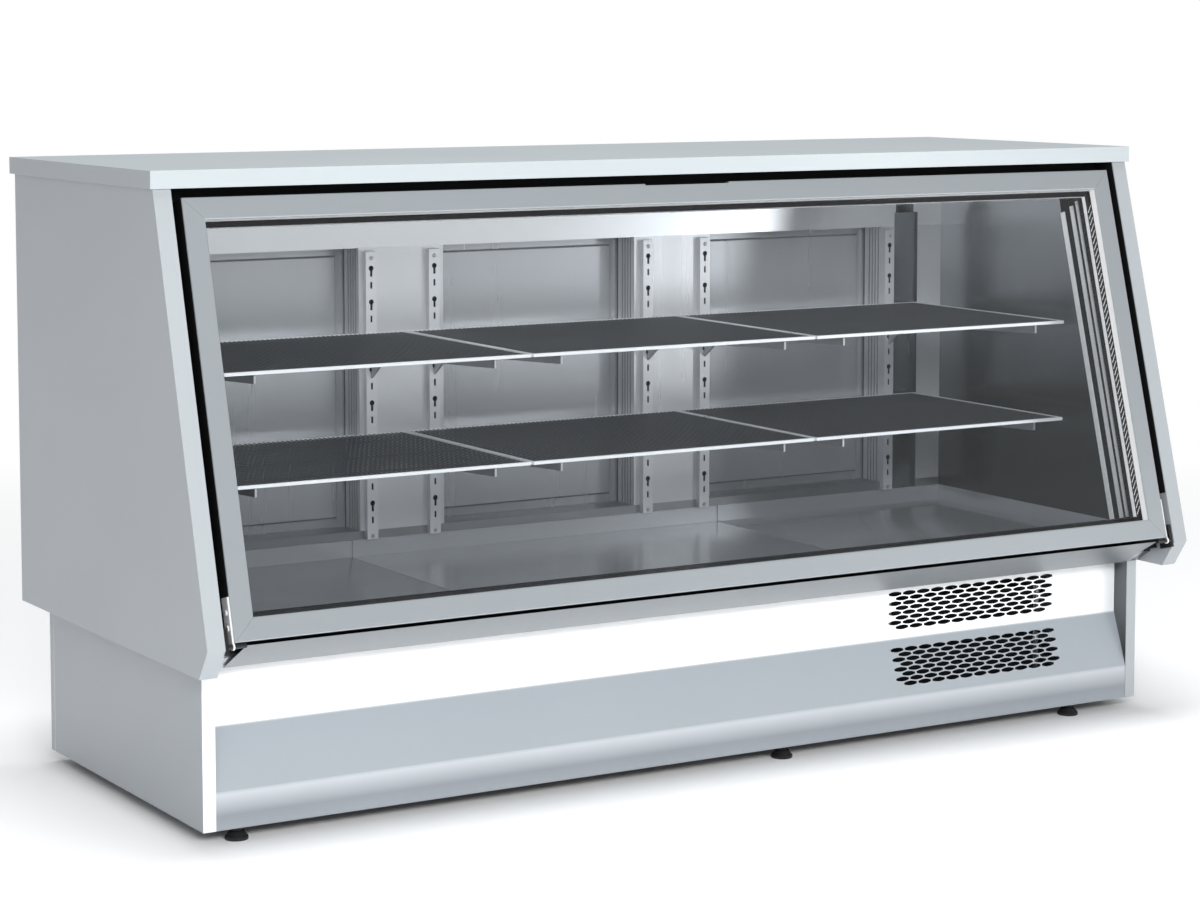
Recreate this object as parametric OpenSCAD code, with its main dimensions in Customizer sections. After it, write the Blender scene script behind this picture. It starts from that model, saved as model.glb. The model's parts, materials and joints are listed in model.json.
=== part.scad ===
// Refrigerated display counter with a tilting glass front door and three rear doors.
// +X runs along the counter, the glass front faces -Y, +Z is up and the feet stand on Z = 0.

/* [Overall size] */
// Length of the worktop
case_l = 2000; // [1900:10:2200]
// Depth from the worktop's rear edge to the lower front corner
case_d = 815; // [800:5:840]
// Height from the floor to the top of the worktop
case_h = 1065; // [1050:5:1100]

/* [Worktop and body] */
// Thickness of the worktop
top_t = 29; // [24:1:34]
// Depth of the worktop
top_d = 629; // [625:1:640]
// Overhang of the worktop past each side panel
top_over = 6; // [4:1:10]
// Height of the underside of the display body
body_z = 284; // [280:1:290]
// Height of the lower front corner of the side panels
corner_z = 333; // [328:1:338]
// Thickness of a side panel, seen as the strip beside the door
panel_t = 31; // [28:1:34]
// Thickness of the inner side liner
liner_t = 17; // [15:1:20]

/* [Front door] */
// Width of the door frame's face
frame_w = 37; // [34:1:44]
// Depth of the door frame
frame_t = 42; // [40:1:44]
// Thickness of each glass pane
pane_t = 4; // [3:1:5]

/* [Interior] */
// Height of the upper shelf's surface
upper_z = 736; // [730:1:745]
// Height of the lower shelf's surface
lower_z = 551; // [545:1:560]
// Depth of a shelf
shelf_d = 475; // [440:5:480]

/* [Rear doors] */
// Distance between the centres of two rear openings
bay_pitch = 590; // [580:1:600]
// Width of a rear opening
open_w = 416; // [400:1:430]
// Height of a rear opening's lower edge
open_z0 = 370; // [366:1:380]
// Height of a rear opening's upper edge
open_z1 = 890; // [870:1:900]

/* [Hidden] */
$fn = 48;
eps = 0.01;

// --- positions along the length ---
x_out = case_l / 2 - top_over;
x_in = x_out - panel_t;
x_wall = x_in - liner_t;
// --- heights and depths; a depth is measured forward from the worktop's rear edge ---
top_z = case_h - top_t;
panel_rear_d = 10;
panel_top_d = top_d - 6;
chamfer_d = case_d - 33;
fascia_foot_d = case_d - 97;
frame_rear_d = 58;
frame_front_d = 117;
sheet_t = 1.5;
skin_t = 1.2;
function y_at(d) = case_d / 2 - d;

// --- the leaning front plane: n runs inward from it, s runs up it from the lower corner ---
lean = atan((case_d - panel_top_d) / (top_z - corner_z));
slope_l = norm([case_d - panel_top_d, top_z - corner_z]);
function plane_at(n, s) = [
    y_at(case_d) + n * cos(lean) + s * sin(lean),
    corner_z - n * sin(lean) + s * cos(lean)
];
function s_at_z(n, z) = (z - corner_z + n * sin(lean)) / cos(lean);

// --- front door, in its own leaning frame ---
door_side_gap = 16;
door_foot_gap = 10;
door_head_gap = 15;
door_x = x_in - door_side_gap;
door_s0 = door_foot_gap;
door_s1 = slope_l - door_head_gap;
jamb_n0 = frame_t + 8.3;
jamb_n1 = jamb_n0 + 20;
jamb_s0 = -4;
hinge_n = 5;
hinge_s = 5;
eye_r = 6;
pocket_w = 38;
pin_r = 4;
run_gap = 0.05;

// --- ceiling, floor and deck ---
ceiling_z = top_z - 22;
floor_z = 321;
sill_top_z = 350;
sill_rear_d = 736;
deck_rim = 32;
deck_seam_x = 400;

// --- shelves ---
shelf_h = 8;
shelf_rear_d = 130;
shelf_front_d = shelf_rear_d + shelf_d - 5;
upright_w = 22;
upright_t = 12;
key_pitch = (upper_z - lower_z) / 3;
key_top_z = upper_z - 6 + 2 * key_pitch;
key_r = 5;
key_slot_w = 4.6;
upright_z0 = floor_z + 34;
upright_z1 = open_z1 - 6;
pillar_x0 = open_w / 2;
pillar_x1 = bay_pitch - open_w / 2;
post_x0 = bay_pitch + open_w / 2;
bracket_xs = [pillar_x0 + 24.5, pillar_x1 - 19.5, post_x0 + 10];

// --- base ---
base_x = case_l / 2 - 40;
post_w = 22.5;
base_rear_d = 54;
base_front_d = 713;
base_z = 22;
cover_d = base_front_d - 36;
cover_bend_z = 183;
kick_z = 84;
feet_x = [-894, 160, 814];
feet_d = [90, 693];
vent_x0 = 419;
vent_pitch = 32;
vent_row = 8.86;
vent_l = 28.5;
vent_w = 8.4;
vent_side_r = 41;

// --- condensing unit ---
fan_x = 595;
fan_z = 152;
fan_d = 560;
fan_r = 92;
shaft_r = 3;
comp_x = 330;
comp_d = 330;
pipe_x = x_wall - 92;
pipe_d = frame_front_d - 11;
pipe_step = 14;
duct_w = 44;
duct_t = 22;
duct_z1 = 1000;
evap_x = 450;
evap_d = 290;
evap_z = 962;
evap_fan_x = 280;
evap_pipe_d = 204;
evap_pipe_z = 986;

// --- power switch ---
switch_y = y_at(base_rear_d) - 3;
switch_z = 170;
switch_pin_r = 2;

// --- rear doors ---
rear_lap = 26;
rear_w = open_w + 2 * rear_lap;
rear_h = open_z1 - open_z0 + 2 * rear_lap;
rear_z0 = open_z0 - rear_lap;
rear_out_d = 13;
rear_pan_t = 34;
rear_liner_t = 5;
rear_pin_inset = 12;
rear_pin_d = 24;
rear_pin_r = 4;

// --- shared geometry ---
function unit(v) = v / norm(v);
function left_of(v) = [-v.y, v.x];
// One corner b moved to its left by t, between directions u and v.
function mitre(b, u, v, t) = b + t * (left_of(u) + left_of(v)) / (1 + u * v);
// A closed anticlockwise outline moved inward by t.
function inset(p, t) = [
    for (i = [0:len(p) - 1])
        let (a = p[(i + len(p) - 1) % len(p)], c = p[(i + 1) % len(p)])
        mitre(p[i], unit(p[i] - a), unit(c - p[i]), t)
];
// An open path moved to its left by t.
function shifted(p, t) = [
    for (i = [0:len(p) - 1])
        let (
            u = unit(p[max(i, 1)] - p[max(i, 1) - 1]),
            v = unit(p[min(i + 1, len(p) - 1)] - p[min(i, len(p) - 2)])
        )
        mitre(p[i], u, v, t)
];
// The outline of a sheet of thickness t folded along an open path.
function folded(p, t) = let (q = shifted(p, t)) concat(p, [for (i = [len(p) - 1:-1:0]) q[i]]);

// Extrudes an outline given in Y and Z along X, from x0 to x1.
module along_x(x0, x1) {
    translate([x0, 0, 0])
        rotate([90, 0, 90])
            linear_extrude(x1 - x0)
                children();
}

// A box from one corner to the other.
module span(a, b) {
    translate(a)
        cube(b - a);
}

// Puts children, drawn with Y as depth and Z as height, on the leaning front plane.
module on_front() {
    translate([0, y_at(case_d), corner_z])
        rotate([-lean, 0, 0])
            children();
}

// Draws its children and their mirror image on the other side.
module both_sides() {
    children();
    mirror([1, 0, 0])
        children();
}

// A cylinder along X.
module rod_x(x0, x1, y, z, r) {
    translate([x0, y, z])
        rotate([0, 90, 0])
            cylinder(h = x1 - x0, r = r);
}

// A cylinder along Y, from y0 to y1.
module rod_y(x, y0, y1, z, r) {
    translate([x, y0, z])
        rotate([-90, 0, 0])
            cylinder(h = y1 - y0, r = r);
}

// A cylinder between two points, with a round joint at the second.
module pipe_run(a, b, r) {
    v = b - a;
    translate(a)
        rotate([0, acos(v.z / norm(v)), atan2(v.y, v.x)])
            cylinder(h = norm(v), r = r);
    translate(b)
        sphere(r = r);
}

// --- body shell ---
body_profile = [
    [y_at(chamfer_d), body_z],
    [y_at(panel_rear_d), body_z],
    [y_at(panel_rear_d), top_z],
    [y_at(panel_top_d), top_z],
    [y_at(case_d), corner_z]
];

module worktop() {
    lip = 18;
    x = case_l / 2;
    color("lightsteelblue")
        difference() {
            span([-x, y_at(top_d), top_z], [x, y_at(0), case_h]);
            span([-x + sheet_t, y_at(top_d) + sheet_t, top_z + sheet_t],
                 [x - sheet_t, y_at(0) - sheet_t, case_h - sheet_t]);
            span([-x + lip, y_at(top_d) + lip, top_z - 1], [x - lip, y_at(0) - lip, top_z + 2]);
        }
}

// A folded steel casing, with a window to its inside that the liner covers.
module side_panel() {
    window = [
        [y_at(620), body_z + 96],
        [y_at(110), body_z + 96],
        [y_at(110), top_z - 96],
        [y_at(540), top_z - 96]
    ];
    color("silver")
        difference() {
            along_x(x_in, x_out) polygon(body_profile);
            along_x(x_in + skin_t, x_out - skin_t) polygon(inset(body_profile, skin_t));
            along_x(x_in - 1, x_in + 5) polygon(window);
        }
}

module side_panel_left() { mirror([1, 0, 0]) side_panel(); }
module side_panel_right() { side_panel(); }

// The sheet inner wall with space for foam behind it, and three edge beads beside the door.
module side_liner() {
    bead_n = [98, 115, 143];
    bead_w = [7, 10, 12];
    bead_h = 3;
    profile = [
        [y_at(fascia_foot_d - 5), body_z],
        [y_at(frame_rear_d), body_z],
        [y_at(frame_rear_d), top_z],
        plane_at(jamb_n1, s_at_z(jamb_n1, top_z)),
        plane_at(jamb_n1, jamb_s0 - 4)
    ];
    color("gainsboro") {
        difference() {
            along_x(x_wall, x_in) polygon(profile);
            along_x(x_wall + skin_t, x_in + 1) polygon(inset(profile, skin_t));
        }
        on_front()
            for (i = [0:2])
                span([x_wall - bead_h, bead_n[i] - bead_w[i] / 2, 62],
                     [x_wall + eps, bead_n[i] + bead_w[i] / 2, slope_l - 54 - i * 6]);
    }
}

module side_liner_left() { mirror([1, 0, 0]) side_liner(); }
module side_liner_right() { side_liner(); }

// The point at height z on the line from a through b.
function at_height(a, b, z) = b + (b - a) * (z - b.y) / (b.y - a.y);
// An outline whose edge from corner k to the next is moved to height z.
function opened(p, k, z) = [
    for (i = [0:len(p) - 1])
        i == k ? at_height(p[(k + len(p) - 1) % len(p)], p[k], z)
        : i == k + 1 ? at_height(p[(k + 2) % len(p)], p[k + 1], z)
        : p[i]
];

module ceiling_panel() {
    profile = [
        [y_at(frame_front_d), ceiling_z],
        [y_at(frame_front_d), top_z],
        plane_at(jamb_n1, s_at_z(jamb_n1, top_z)),
        plane_at(jamb_n1, s_at_z(jamb_n1, ceiling_z))
    ];
    foam_space = opened(inset(profile, skin_t), 1, top_z + 1);
    color("gainsboro")
        difference() {
            along_x(-x_wall, x_wall) polygon(profile);
            along_x(-x_wall + skin_t, x_wall - skin_t) polygon(foam_space);
        }
}

// The inner floor with space for foam below it, and the raised sill behind the door.
module floor_panel() {
    rear = [
        [y_at(fascia_foot_d - 5), body_z],
        [y_at(frame_front_d), body_z],
        [y_at(frame_front_d), floor_z]
    ];
    sill = [
        [y_at(sill_rear_d), floor_z],
        [y_at(sill_rear_d), sill_top_z],
        plane_at(jamb_n1, s_at_z(jamb_n1, sill_top_z))
    ];
    front_top = plane_at(jamb_n1, s_at_z(jamb_n1, floor_z));
    foot = plane_at(jamb_n1, jamb_s0 - 4);
    foam_space = opened(inset(concat(rear, [front_top, foot]), skin_t), 0, body_z - 1);
    color("gainsboro")
        difference() {
            along_x(-x_wall, x_wall) polygon(concat(rear, sill, [foot]));
            along_x(-x_wall + skin_t, x_wall - skin_t) polygon(foam_space);
        }
}

// The upright duct for the refrigerant lines, sunk in the rear frame's inner face.
module duct_space(z0, z1, grow) {
    span([pipe_x - duct_w / 2 - grow, y_at(frame_front_d) - 1, z0 - grow],
         [pipe_x + duct_w / 2 + grow, y_at(frame_front_d - duct_t) + grow, z1 + grow]);
}

// A member of the rear frame from a to b, hollow from c to d, with the duct down its face.
module ducted_member(a, b, c, d, duct_top) {
    difference() {
        span(a, b);
        difference() {
            span(c, d);
            if (duct_top > a.z)
                duct_space(a.z - 2, duct_top, skin_t);
        }
        if (duct_top > a.z)
            duct_space(a.z - 1, duct_top, 0);
    }
}

// The sheet that runs from under the door back to the foot of the body.
module front_fascia() {
    path = [
        plane_at(38, 4.5),
        plane_at(3, 4.5),
        [y_at(fascia_foot_d), body_z]
    ];
    color("silver")
        along_x(-x_in + pocket_w, x_in - pocket_w)
            polygon(folded(path, sheet_t));
}

// The black breaker frame that the door's gasket closes against.
module door_jamb() {
    color("dimgray")
        on_front()
            difference() {
                span([-x_in, jamb_n0, jamb_s0], [x_in, jamb_n1, s_at_z(jamb_n0, top_z) - 0.5]);
                span([-x_in + 37, jamb_n0 - 1, door_s0 + 21], [x_in - 37, jamb_n1 + 1, door_s1 - 21]);
            }
}

// --- rear frame ---
module rear_header() {
    t = skin_t;
    color("lightgray")
        ducted_member([-x_wall, y_at(frame_front_d), open_z1],
                      [x_wall, y_at(frame_rear_d), top_z],
                      [-x_wall + t, y_at(frame_front_d) + t, open_z1 + t],
                      [x_wall - t, y_at(frame_rear_d) - t, top_z + 1],
                      duct_z1);
}

module rear_sill() {
    t = skin_t;
    color("lightgray")
        ducted_member([-x_wall, y_at(frame_front_d), body_z],
                      [x_wall, y_at(frame_rear_d), open_z0],
                      [-x_wall + t, y_at(frame_front_d) + t, body_z - 1],
                      [x_wall - t, y_at(frame_rear_d) - t, open_z0 - t],
                      open_z0 + 1);
}

// A hollow post between x0 and x1, with breaker ridges on the chosen faces.
module rear_post(x0, x1, ridge0, ridge1, duct_top) {
    ridge_ds = [70, 80, 90, 100];
    t = 3.5;
    difference() {
        ducted_member([x0, y_at(frame_front_d), open_z0],
                      [x1, y_at(frame_rear_d), open_z1],
                      [x0 + t, y_at(frame_front_d) + t, open_z0 + t],
                      [x1 - t, y_at(frame_rear_d) - t, open_z1 + 1],
                      duct_top);
        for (d = ridge_ds) {
            if (ridge0)
                span([x0 - 1, y_at(d + 5), open_z0 - 1], [x0 + 2, y_at(d), open_z1 + 1]);
            if (ridge1)
                span([x1 - 2, y_at(d + 5), open_z0 - 1], [x1 + 1, y_at(d), open_z1 + 1]);
        }
    }
}

module rear_pillars() {
    no_duct = 0;
    color("lightgray") {
        both_sides()
            rear_post(pillar_x0, pillar_x1, true, true, no_duct);
        rear_post(post_x0, x_wall, true, false, open_z1 + 1);
        mirror([1, 0, 0])
            rear_post(post_x0, x_wall, true, false, no_duct);
    }
}

// The plate over the duct, with a flange along its outer edge and a slot at its head.
module pipe_cover() {
    lap = 4;
    t = 1.5;
    flange = 9;
    z0 = floor_z + 34;
    z1 = 918;
    x0 = pipe_x - duct_w / 2;
    x1 = pipe_x + duct_w / 2;
    y1 = y_at(frame_front_d);
    color("gray") {
        span([x0 - lap, y1 - t, z0], [x1 + lap, y1, z1]);
        span([x1 + lap - t, y1 - flange, z0], [x1 + lap, y1 - t + eps, z1]);
    }
}

// --- deck ---
// A flat tray from x0 to x1 with upturned rims at the front and rear, and at its outer ends.
module deck_tray(x0, x1, rim0, rim1) {
    y0 = y_at(sill_rear_d);
    y1 = y_at(frame_front_d);
    z1 = floor_z + sheet_t + deck_rim;
    color("silver") {
        span([x0, y0, floor_z], [x1, y1, floor_z + sheet_t]);
        span([x0, y1 - sheet_t, floor_z], [x1, y1, z1]);
        span([x0, y0, floor_z], [x1, y0 + sheet_t, z1]);
        if (rim0)
            span([x0, y0, floor_z], [x0 + sheet_t, y1, z1]);
        if (rim1)
            span([x1 - sheet_t, y0, floor_z], [x1, y1, z1]);
    }
}

module deck_tray_left() { deck_tray(-x_wall, -deck_seam_x - 0.5, true, false); }
module deck_tray_middle() { deck_tray(-deck_seam_x + 0.5, deck_seam_x - 0.5, false, false); }
module deck_tray_right() { deck_tray(deck_seam_x + 0.5, x_wall, false, true); }

// --- shelving ---
// A channel upright with keyholes and adjustment slots down its face.
module upright(x) {
    t = 1.5;
    w = upright_w / 2;
    y0 = y_at(frame_front_d + upright_t);
    y1 = y_at(frame_front_d);
    difference() {
        span([x - w, y0, upright_z0], [x + w, y1, upright_z1]);
        span([x - w + t, y0 + t, upright_z0 - 1], [x + w - t, y1 + 1, upright_z1 + 1]);
        rod_y(x, y0 - 1, y0 + 3, upright_z1 - 12, 2.5);
        for (k = [0:7]) {
            z = key_top_z - k * key_pitch;
            rod_y(x, y0 - 1, y0 + 3, z, key_r);
            span([x - key_slot_w / 2, y0 - 1, z - 15], [x + key_slot_w / 2, y0 + 3, z]);
            span([x - 2, y0 - 1, z - 37], [x + 2, y0 + 3, z - 25]);
        }
    }
}

module shelf_uprights() {
    color("whitesmoke")
        both_sides()
            for (x = bracket_xs)
                upright(x);
}

// A cantilever arm with two hooks in the upright's keyhole slots.
module bracket(x, shelf_z) {
    z1 = shelf_z - shelf_h;
    y0 = y_at(shelf_front_d - 8);
    y1 = y_at(frame_front_d + upright_t) - 0.3;
    hook_z = shelf_z - 6 - 14;
    along_x(x - 2, x + 2)
        polygon([[y0, z1 - 14], [y1 - 60, z1 - 34], [y1, z1 - 76], [y1, z1], [y0, z1]]);
    for (z = [hook_z, hook_z - key_pitch])
        span([x - 2, y1 - eps, z], [x + 2, y1 + 6, z + 8]);
}

module shelf_brackets() {
    color("silver")
        both_sides()
            for (x = bracket_xs, z = [upper_z, lower_z])
                bracket(x, z);
}

// A mesh shelf from x0 to x1, framed by a flat rail.
module shelf(x0, x1, z) {
    rail = 4;
    mesh_t = 2.5;
    color("dimgray")
        difference() {
            span([x0, y_at(shelf_front_d), z - shelf_h], [x1, y_at(shelf_rear_d), z]);
            span([x0 + rail, y_at(shelf_front_d) + rail, z - shelf_h - 1],
                 [x1 - rail, y_at(shelf_rear_d) - rail, z - mesh_t]);
        }
}

bay_edge = bay_pitch / 2;
module outer_shelf(z) { shelf(bay_edge + 2, post_x0 + 72, z); }
module middle_shelf(z) { shelf(-bay_edge + 2, bay_edge - 2, z); }
module upper_shelf_left() { mirror([1, 0, 0]) outer_shelf(upper_z); }
module upper_shelf_middle() { middle_shelf(upper_z); }
module upper_shelf_right() { outer_shelf(upper_z); }
module lower_shelf_left() { mirror([1, 0, 0]) outer_shelf(lower_z); }
module lower_shelf_middle() { middle_shelf(lower_z); }
module lower_shelf_right() { outer_shelf(lower_z); }

// --- base ---
module base_chassis() {
    x = base_x - post_w;
    y0 = y_at(base_front_d - 6);
    y1 = y_at(base_rear_d + 2);
    color("gray")
        difference() {
            span([-x, y0, base_z + 3], [x, y1, base_z + 25]);
            span([-x + 2, y0 + 2, base_z + 5], [x - 2, y1 - 2, base_z + 26]);
            for (fx = feet_x, d = feet_d)
                translate([fx, y_at(d), base_z])
                    cylinder(h = 10, r = 5.3);
        }
}

// A folded steel side of the base, with the seam of its rear corner trim.
module base_side() {
    seam_d = base_rear_d + 17;
    outline = [
        [y_at(base_front_d), base_z],
        [y_at(base_rear_d), base_z],
        [y_at(base_rear_d), body_z],
        [y_at(base_front_d), body_z]
    ];
    color("silver")
        difference() {
            along_x(base_x - post_w, base_x) polygon(outline);
            along_x(base_x - post_w - 1, base_x - skin_t) polygon(inset(outline, skin_t));
            span([base_x - 0.5, y_at(seam_d + 1), base_z - 1], [base_x + 1, y_at(seam_d), body_z + 1]);
        }
}

module base_side_left() { mirror([1, 0, 0]) base_side(); }
module base_side_right() { base_side(); }

// One group of staggered vent slots, drawn flat with its top row at y = 0.
// A slot is an oblong whose long sides bulge, so it narrows towards its ends.
module vent_slots() {
    end_x = (vent_l - vent_w) / 2;
    side_y = vent_side_r - vent_w / 2;
    for (row = [0:7], i = [0:(row % 2 == 0 ? 11 : 10)])
        translate([vent_x0 + (i + (row % 2) / 2) * vent_pitch, -row * vent_row])
            intersection() {
                union() {
                    square([2 * end_x, vent_w], center = true);
                    for (side = [-1, 1])
                        translate([side * end_x, 0])
                            circle(d = vent_w);
                }
                translate([0, side_y])
                    circle(r = vent_side_r, $fn = 96);
                translate([0, -side_y])
                    circle(r = vent_side_r, $fn = 96);
            }
}

// The folded front cover: an upright band, a slope and a kick, with two groups of vents.
module front_cover() {
    x = base_x - post_w;
    kick_d = base_front_d - 1;
    slope_a = atan((kick_d - cover_d) / (cover_bend_z - kick_z));
    band_top = 82;
    slope_top = 21;
    path = [
        [y_at(cover_d), body_z],
        [y_at(cover_d), cover_bend_z],
        [y_at(kick_d), kick_z],
        [y_at(kick_d), base_z],
        [y_at(kick_d - 4), base_z]
    ];
    color("lightsteelblue")
        difference() {
            along_x(-x, x) polygon(folded(path, sheet_t));
            translate([0, y_at(cover_d) + 5, cover_bend_z + band_top])
                rotate([90, 0, 0])
                    linear_extrude(10)
                        vent_slots();
            translate([0, y_at(cover_d), cover_bend_z])
                rotate([90 - slope_a, 0, 0])
                    translate([0, -slope_top, -5])
                        linear_extrude(10)
                            vent_slots();
        }
}

// The rear panel of the base, with louvre slots and openings for the controls.
module back_cover() {
    x = base_x - post_w;
    color("gray")
        difference() {
            span([-x, y_at(base_rear_d + 2), base_z + 3], [x, y_at(base_rear_d), body_z]);
            for (row = [0:7], col = [0:3])
                span([300 + col * 90, y_at(base_rear_d + 3), 110 + row * 14],
                     [372 + col * 90, y_at(base_rear_d - 1), 116 + row * 14]);
            span([-165, y_at(base_rear_d + 3), 120], [-35, y_at(base_rear_d - 1), 220]);
            rod_y(-230, y_at(base_rear_d + 3), y_at(base_rear_d - 1), 100, 8.2);
        }
}

module levelling_feet() {
    color("black")
        for (fx = feet_x, d = feet_d)
            translate([fx, y_at(d), 0]) {
                cylinder(h = 6, r = 19);
                translate([0, 0, 6 - eps])
                    cylinder(h = 8, r1 = 18, r2 = 12);
                translate([0, 0, 14 - 2 * eps])
                    cylinder(h = 11 + 2 * eps, r = 10, $fn = 6);
                translate([0, 0, 20])
                    cylinder(h = 24, r = 5);
            }
}

// --- condensing unit ---
module compressor() {
    r = 84;
    z0 = base_z + 5;
    color("black")
        translate([comp_x, y_at(comp_d), z0]) {
            translate([0, 0, 18])
                rotate_extrude($fn = 72)
                    difference() {
                        union() {
                            square([r, 150]);
                            translate([0, 150 - 60])
                                intersection() {
                                    circle(r = r + 20);
                                    square([r, 120]);
                                }
                        }
                        translate([0, -50])
                            square([200, 50]);
                    }
            translate([0, 0, 86])
                cylinder(h = 6, r = r + 4, $fn = 72);
            for (sx = [-1, 1])
                span([sx * 90 - 22, -100, 4], [sx * 90 + 22, 100, 8]);
            span([-112, -40, 8 - eps], [112, 40, 20]);
            for (sx = [-1, 1], sy = [-1, 1])
                translate([sx * 90, sy * 84, 0])
                    cylinder(h = 16, r = 9);
            span([r - 12, -34, 50], [r + 34, 34, 122]);
        }
}

// A finned block with end plates and return bends, blowing towards -Y.
module condenser_coil() {
    w = 340;
    h = 210;
    t = 44;
    bend_r = 11;
    z0 = base_z + 16;
    x0 = fan_x - w / 2;
    y0 = y_at(652);
    color("silver") {
        span([x0, y0, z0], [x0 + w, y0 + t, z0 + h]);
        for (x = [x0 - 2, x0 + w])
            span([x, y0 - 4, z0 - 11], [x + 2, y0 + t + 4, z0 + h + 6]);
        for (row = [0:3], side = [0, 1])
            translate([side == 0 ? x0 - 2 + eps : x0 + w + 2 - eps, y0 + t / 2, z0 + 36 + row * 46])
                rotate([0, 90, side == 0 ? 180 : 0])
                    rotate([0, -90, 0])
                        return_bend(bend_r);
    }
}

// A half ring of tube in the XZ plane, bulging towards +X.
module return_bend(bend_r) {
    rotate([90, 0, 0])
        rotate([0, 0, -90])
            rotate_extrude(angle = 180)
                translate([bend_r, 0])
                    circle(r = 4);
}

// The motor on a square shroud behind the condenser.
module condenser_fan_motor() {
    y0 = y_at(604);
    color("dimgray")
        difference() {
            union() {
                span([fan_x - 172, y0, base_z + 5], [fan_x + 172, y0 + 3, base_z + 232]);
                translate([fan_x, y0 + 3 - eps, fan_z])
                    rotate([-90, 0, 0])
                        difference() {
                            cylinder(h = 38, r = fan_r + 10, $fn = 72);
                            translate([0, 0, -1])
                                cylinder(h = 50, r = fan_r + 6, $fn = 72);
                        }
                for (a = [0:120:240])
                    translate([fan_x, y0 + 36, fan_z])
                        rotate([0, a, 0])
                            span([30, 0, -5], [fan_r + 8, 5, 5]);
                rod_y(fan_x, y0 + 34, y0 + 92, fan_z, 34);
                rod_y(fan_x, y0 + 13, y0 + 36, fan_z, shaft_r);
            }
            rod_y(fan_x, y0 - 1, y0 + 3 + eps, fan_z, fan_r + 6);
        }
}

// Blades on a hub that turns on a shaft, drawn about the Z axis with the hub from z = 0.
module blades(count, r, hub_r, hub_h, pitch_a) {
    difference() {
        union() {
            cylinder(h = hub_h, r = hub_r);
            for (i = [0:count - 1])
                rotate([0, 0, i * 360 / count])
                    translate([0, 0, hub_h / 2])
                        rotate([pitch_a, 0, 0])
                            blade(r, hub_r);
        }
        translate([0, 0, -1])
            cylinder(h = hub_h - 3, r = shaft_r + run_gap);
    }
}

// One flat blade, wider at its tip.
module blade(r, hub_r) {
    translate([0, 0, -0.8])
        linear_extrude(1.6)
            polygon([
                [hub_r - 3, -hub_r * 0.6], [r * 0.7, -r * 0.3], [r * 0.97, -r * 0.2],
                [r * 0.97, r * 0.18], [r * 0.7, r * 0.26], [hub_r - 3, hub_r * 0.6]
            ]);
}

module condenser_fan_blades() {
    color("white")
        translate([fan_x, y_at(604) + 28, fan_z])
            rotate([90, 0, 0])
                blades(5, fan_r, 24, 20, 24);
}

module drain_tray() {
    color("dimgray")
        translate([780, y_at(300), base_z + 5])
            difference() {
                span([-90, -120, 0], [90, 120, 60]);
                span([-87, -117, 3], [87, 117, 61]);
            }
}

// The control housing behind the back cover, with a window for the display.
module control_box() {
    y0 = y_at(base_rear_d + 62);
    y1 = y_at(base_rear_d) + 4;
    color("black")
        difference() {
            span([-164, y0, 121], [-36, y1, 219]);
            span([-161, y0 - 1, 124], [-39, y1 - 3, 216]);
            span([-72, y1 - 4, 148], [-48, y1 + 1, 192]);
            span([-154, y1 - 1, 140], [-84, y1 + 1, 200]);
        }
    color("black")
        difference() {
            for (x = [-75, -47.6])
                span([x, y1 - 12, 164], [x + 2.6, y1 - 3 + eps, 176]);
            rod_x(-80, -40, switch_y, switch_z, switch_pin_r + run_gap);
        }
}

// The rocker of the power switch, set to on, with its two pivot pins.
module rocker_switch() {
    color("red")
        translate([-60, switch_y, switch_z])
            rotate([7, 0, 0]) {
                intersection() {
                    span([-10, -7, -19], [10, 11, 19]);
                    rod_x(-11, 11, -18, 0, 31);
                }
                rod_x(-14.5, 14.5, 0, 0, switch_pin_r);
            }
}

// A cable gland for the mains cord.
module cord_gland() {
    y1 = y_at(base_rear_d);
    color("black")
        difference() {
            union() {
                rod_y(-230, y1 - 12, y1 + 20, 100, 8);
                rod_y(-230, y1 + eps, y1 + 7, 100, 13, $fn = 6);
                rod_y(-230, y1 + 7, y1 + 16, 100, 11);
                rod_y(-230, y1 - 9, y1 - 2.3, 100, 12);
            }
            rod_y(-230, y1 - 13, y1 + 21, 100, 4.5);
        }
}

// --- evaporator under the ceiling ---
module evaporator_coil() {
    color("silver") {
        span([evap_x - 70, y_at(evap_d + 105), evap_z + 6],
             [evap_x + 270, y_at(evap_d - 105), ceiling_z]);
        for (x = [evap_x - 72, evap_x + 270])
            span([x, y_at(evap_d + 108), evap_z + 6], [x + 2, y_at(evap_d - 108), ceiling_z]);
    }
}

// The drip pan under the coil and the fan, with the air intake ring.
module evaporator_cover() {
    color("gainsboro")
        difference() {
            span([evap_x - 285, y_at(evap_d + 120), evap_z], [evap_x + 285, y_at(evap_d - 120), ceiling_z]);
            span([evap_x - 283, y_at(evap_d + 118), evap_z + 2],
                 [evap_x + 283, y_at(evap_d - 118), ceiling_z + 1]);
            translate([evap_fan_x, y_at(evap_d), evap_z - 1])
                cylinder(h = 5, r = 66);
            for (i = [0:8])
                span([evap_x - 40 + i * 34, y_at(evap_d - 117), evap_z + 12],
                     [evap_x - 20 + i * 34, y_at(evap_d - 121), ceiling_z - 10]);
            for (i = [-1:1])
                rod_x(evap_x + 280, evap_x + 290, y_at(evap_pipe_d + i * pipe_step), evap_pipe_z, 6);
        }
}

module evaporator_fan_motor() {
    color("dimgray")
        translate([evap_fan_x, y_at(evap_d), 0]) {
            translate([0, 0, ceiling_z - 20])
                cylinder(h = 20, r = 24);
            translate([0, 0, evap_z + 12])
                cylinder(h = 25, r = shaft_r);
        }
}

module evaporator_fan_blades() {
    color("white")
        translate([evap_fan_x, y_at(evap_d), evap_z + 26])
            rotate([180, 0, 0])
                blades(5, 60, 16, 18, 22);
}

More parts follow.
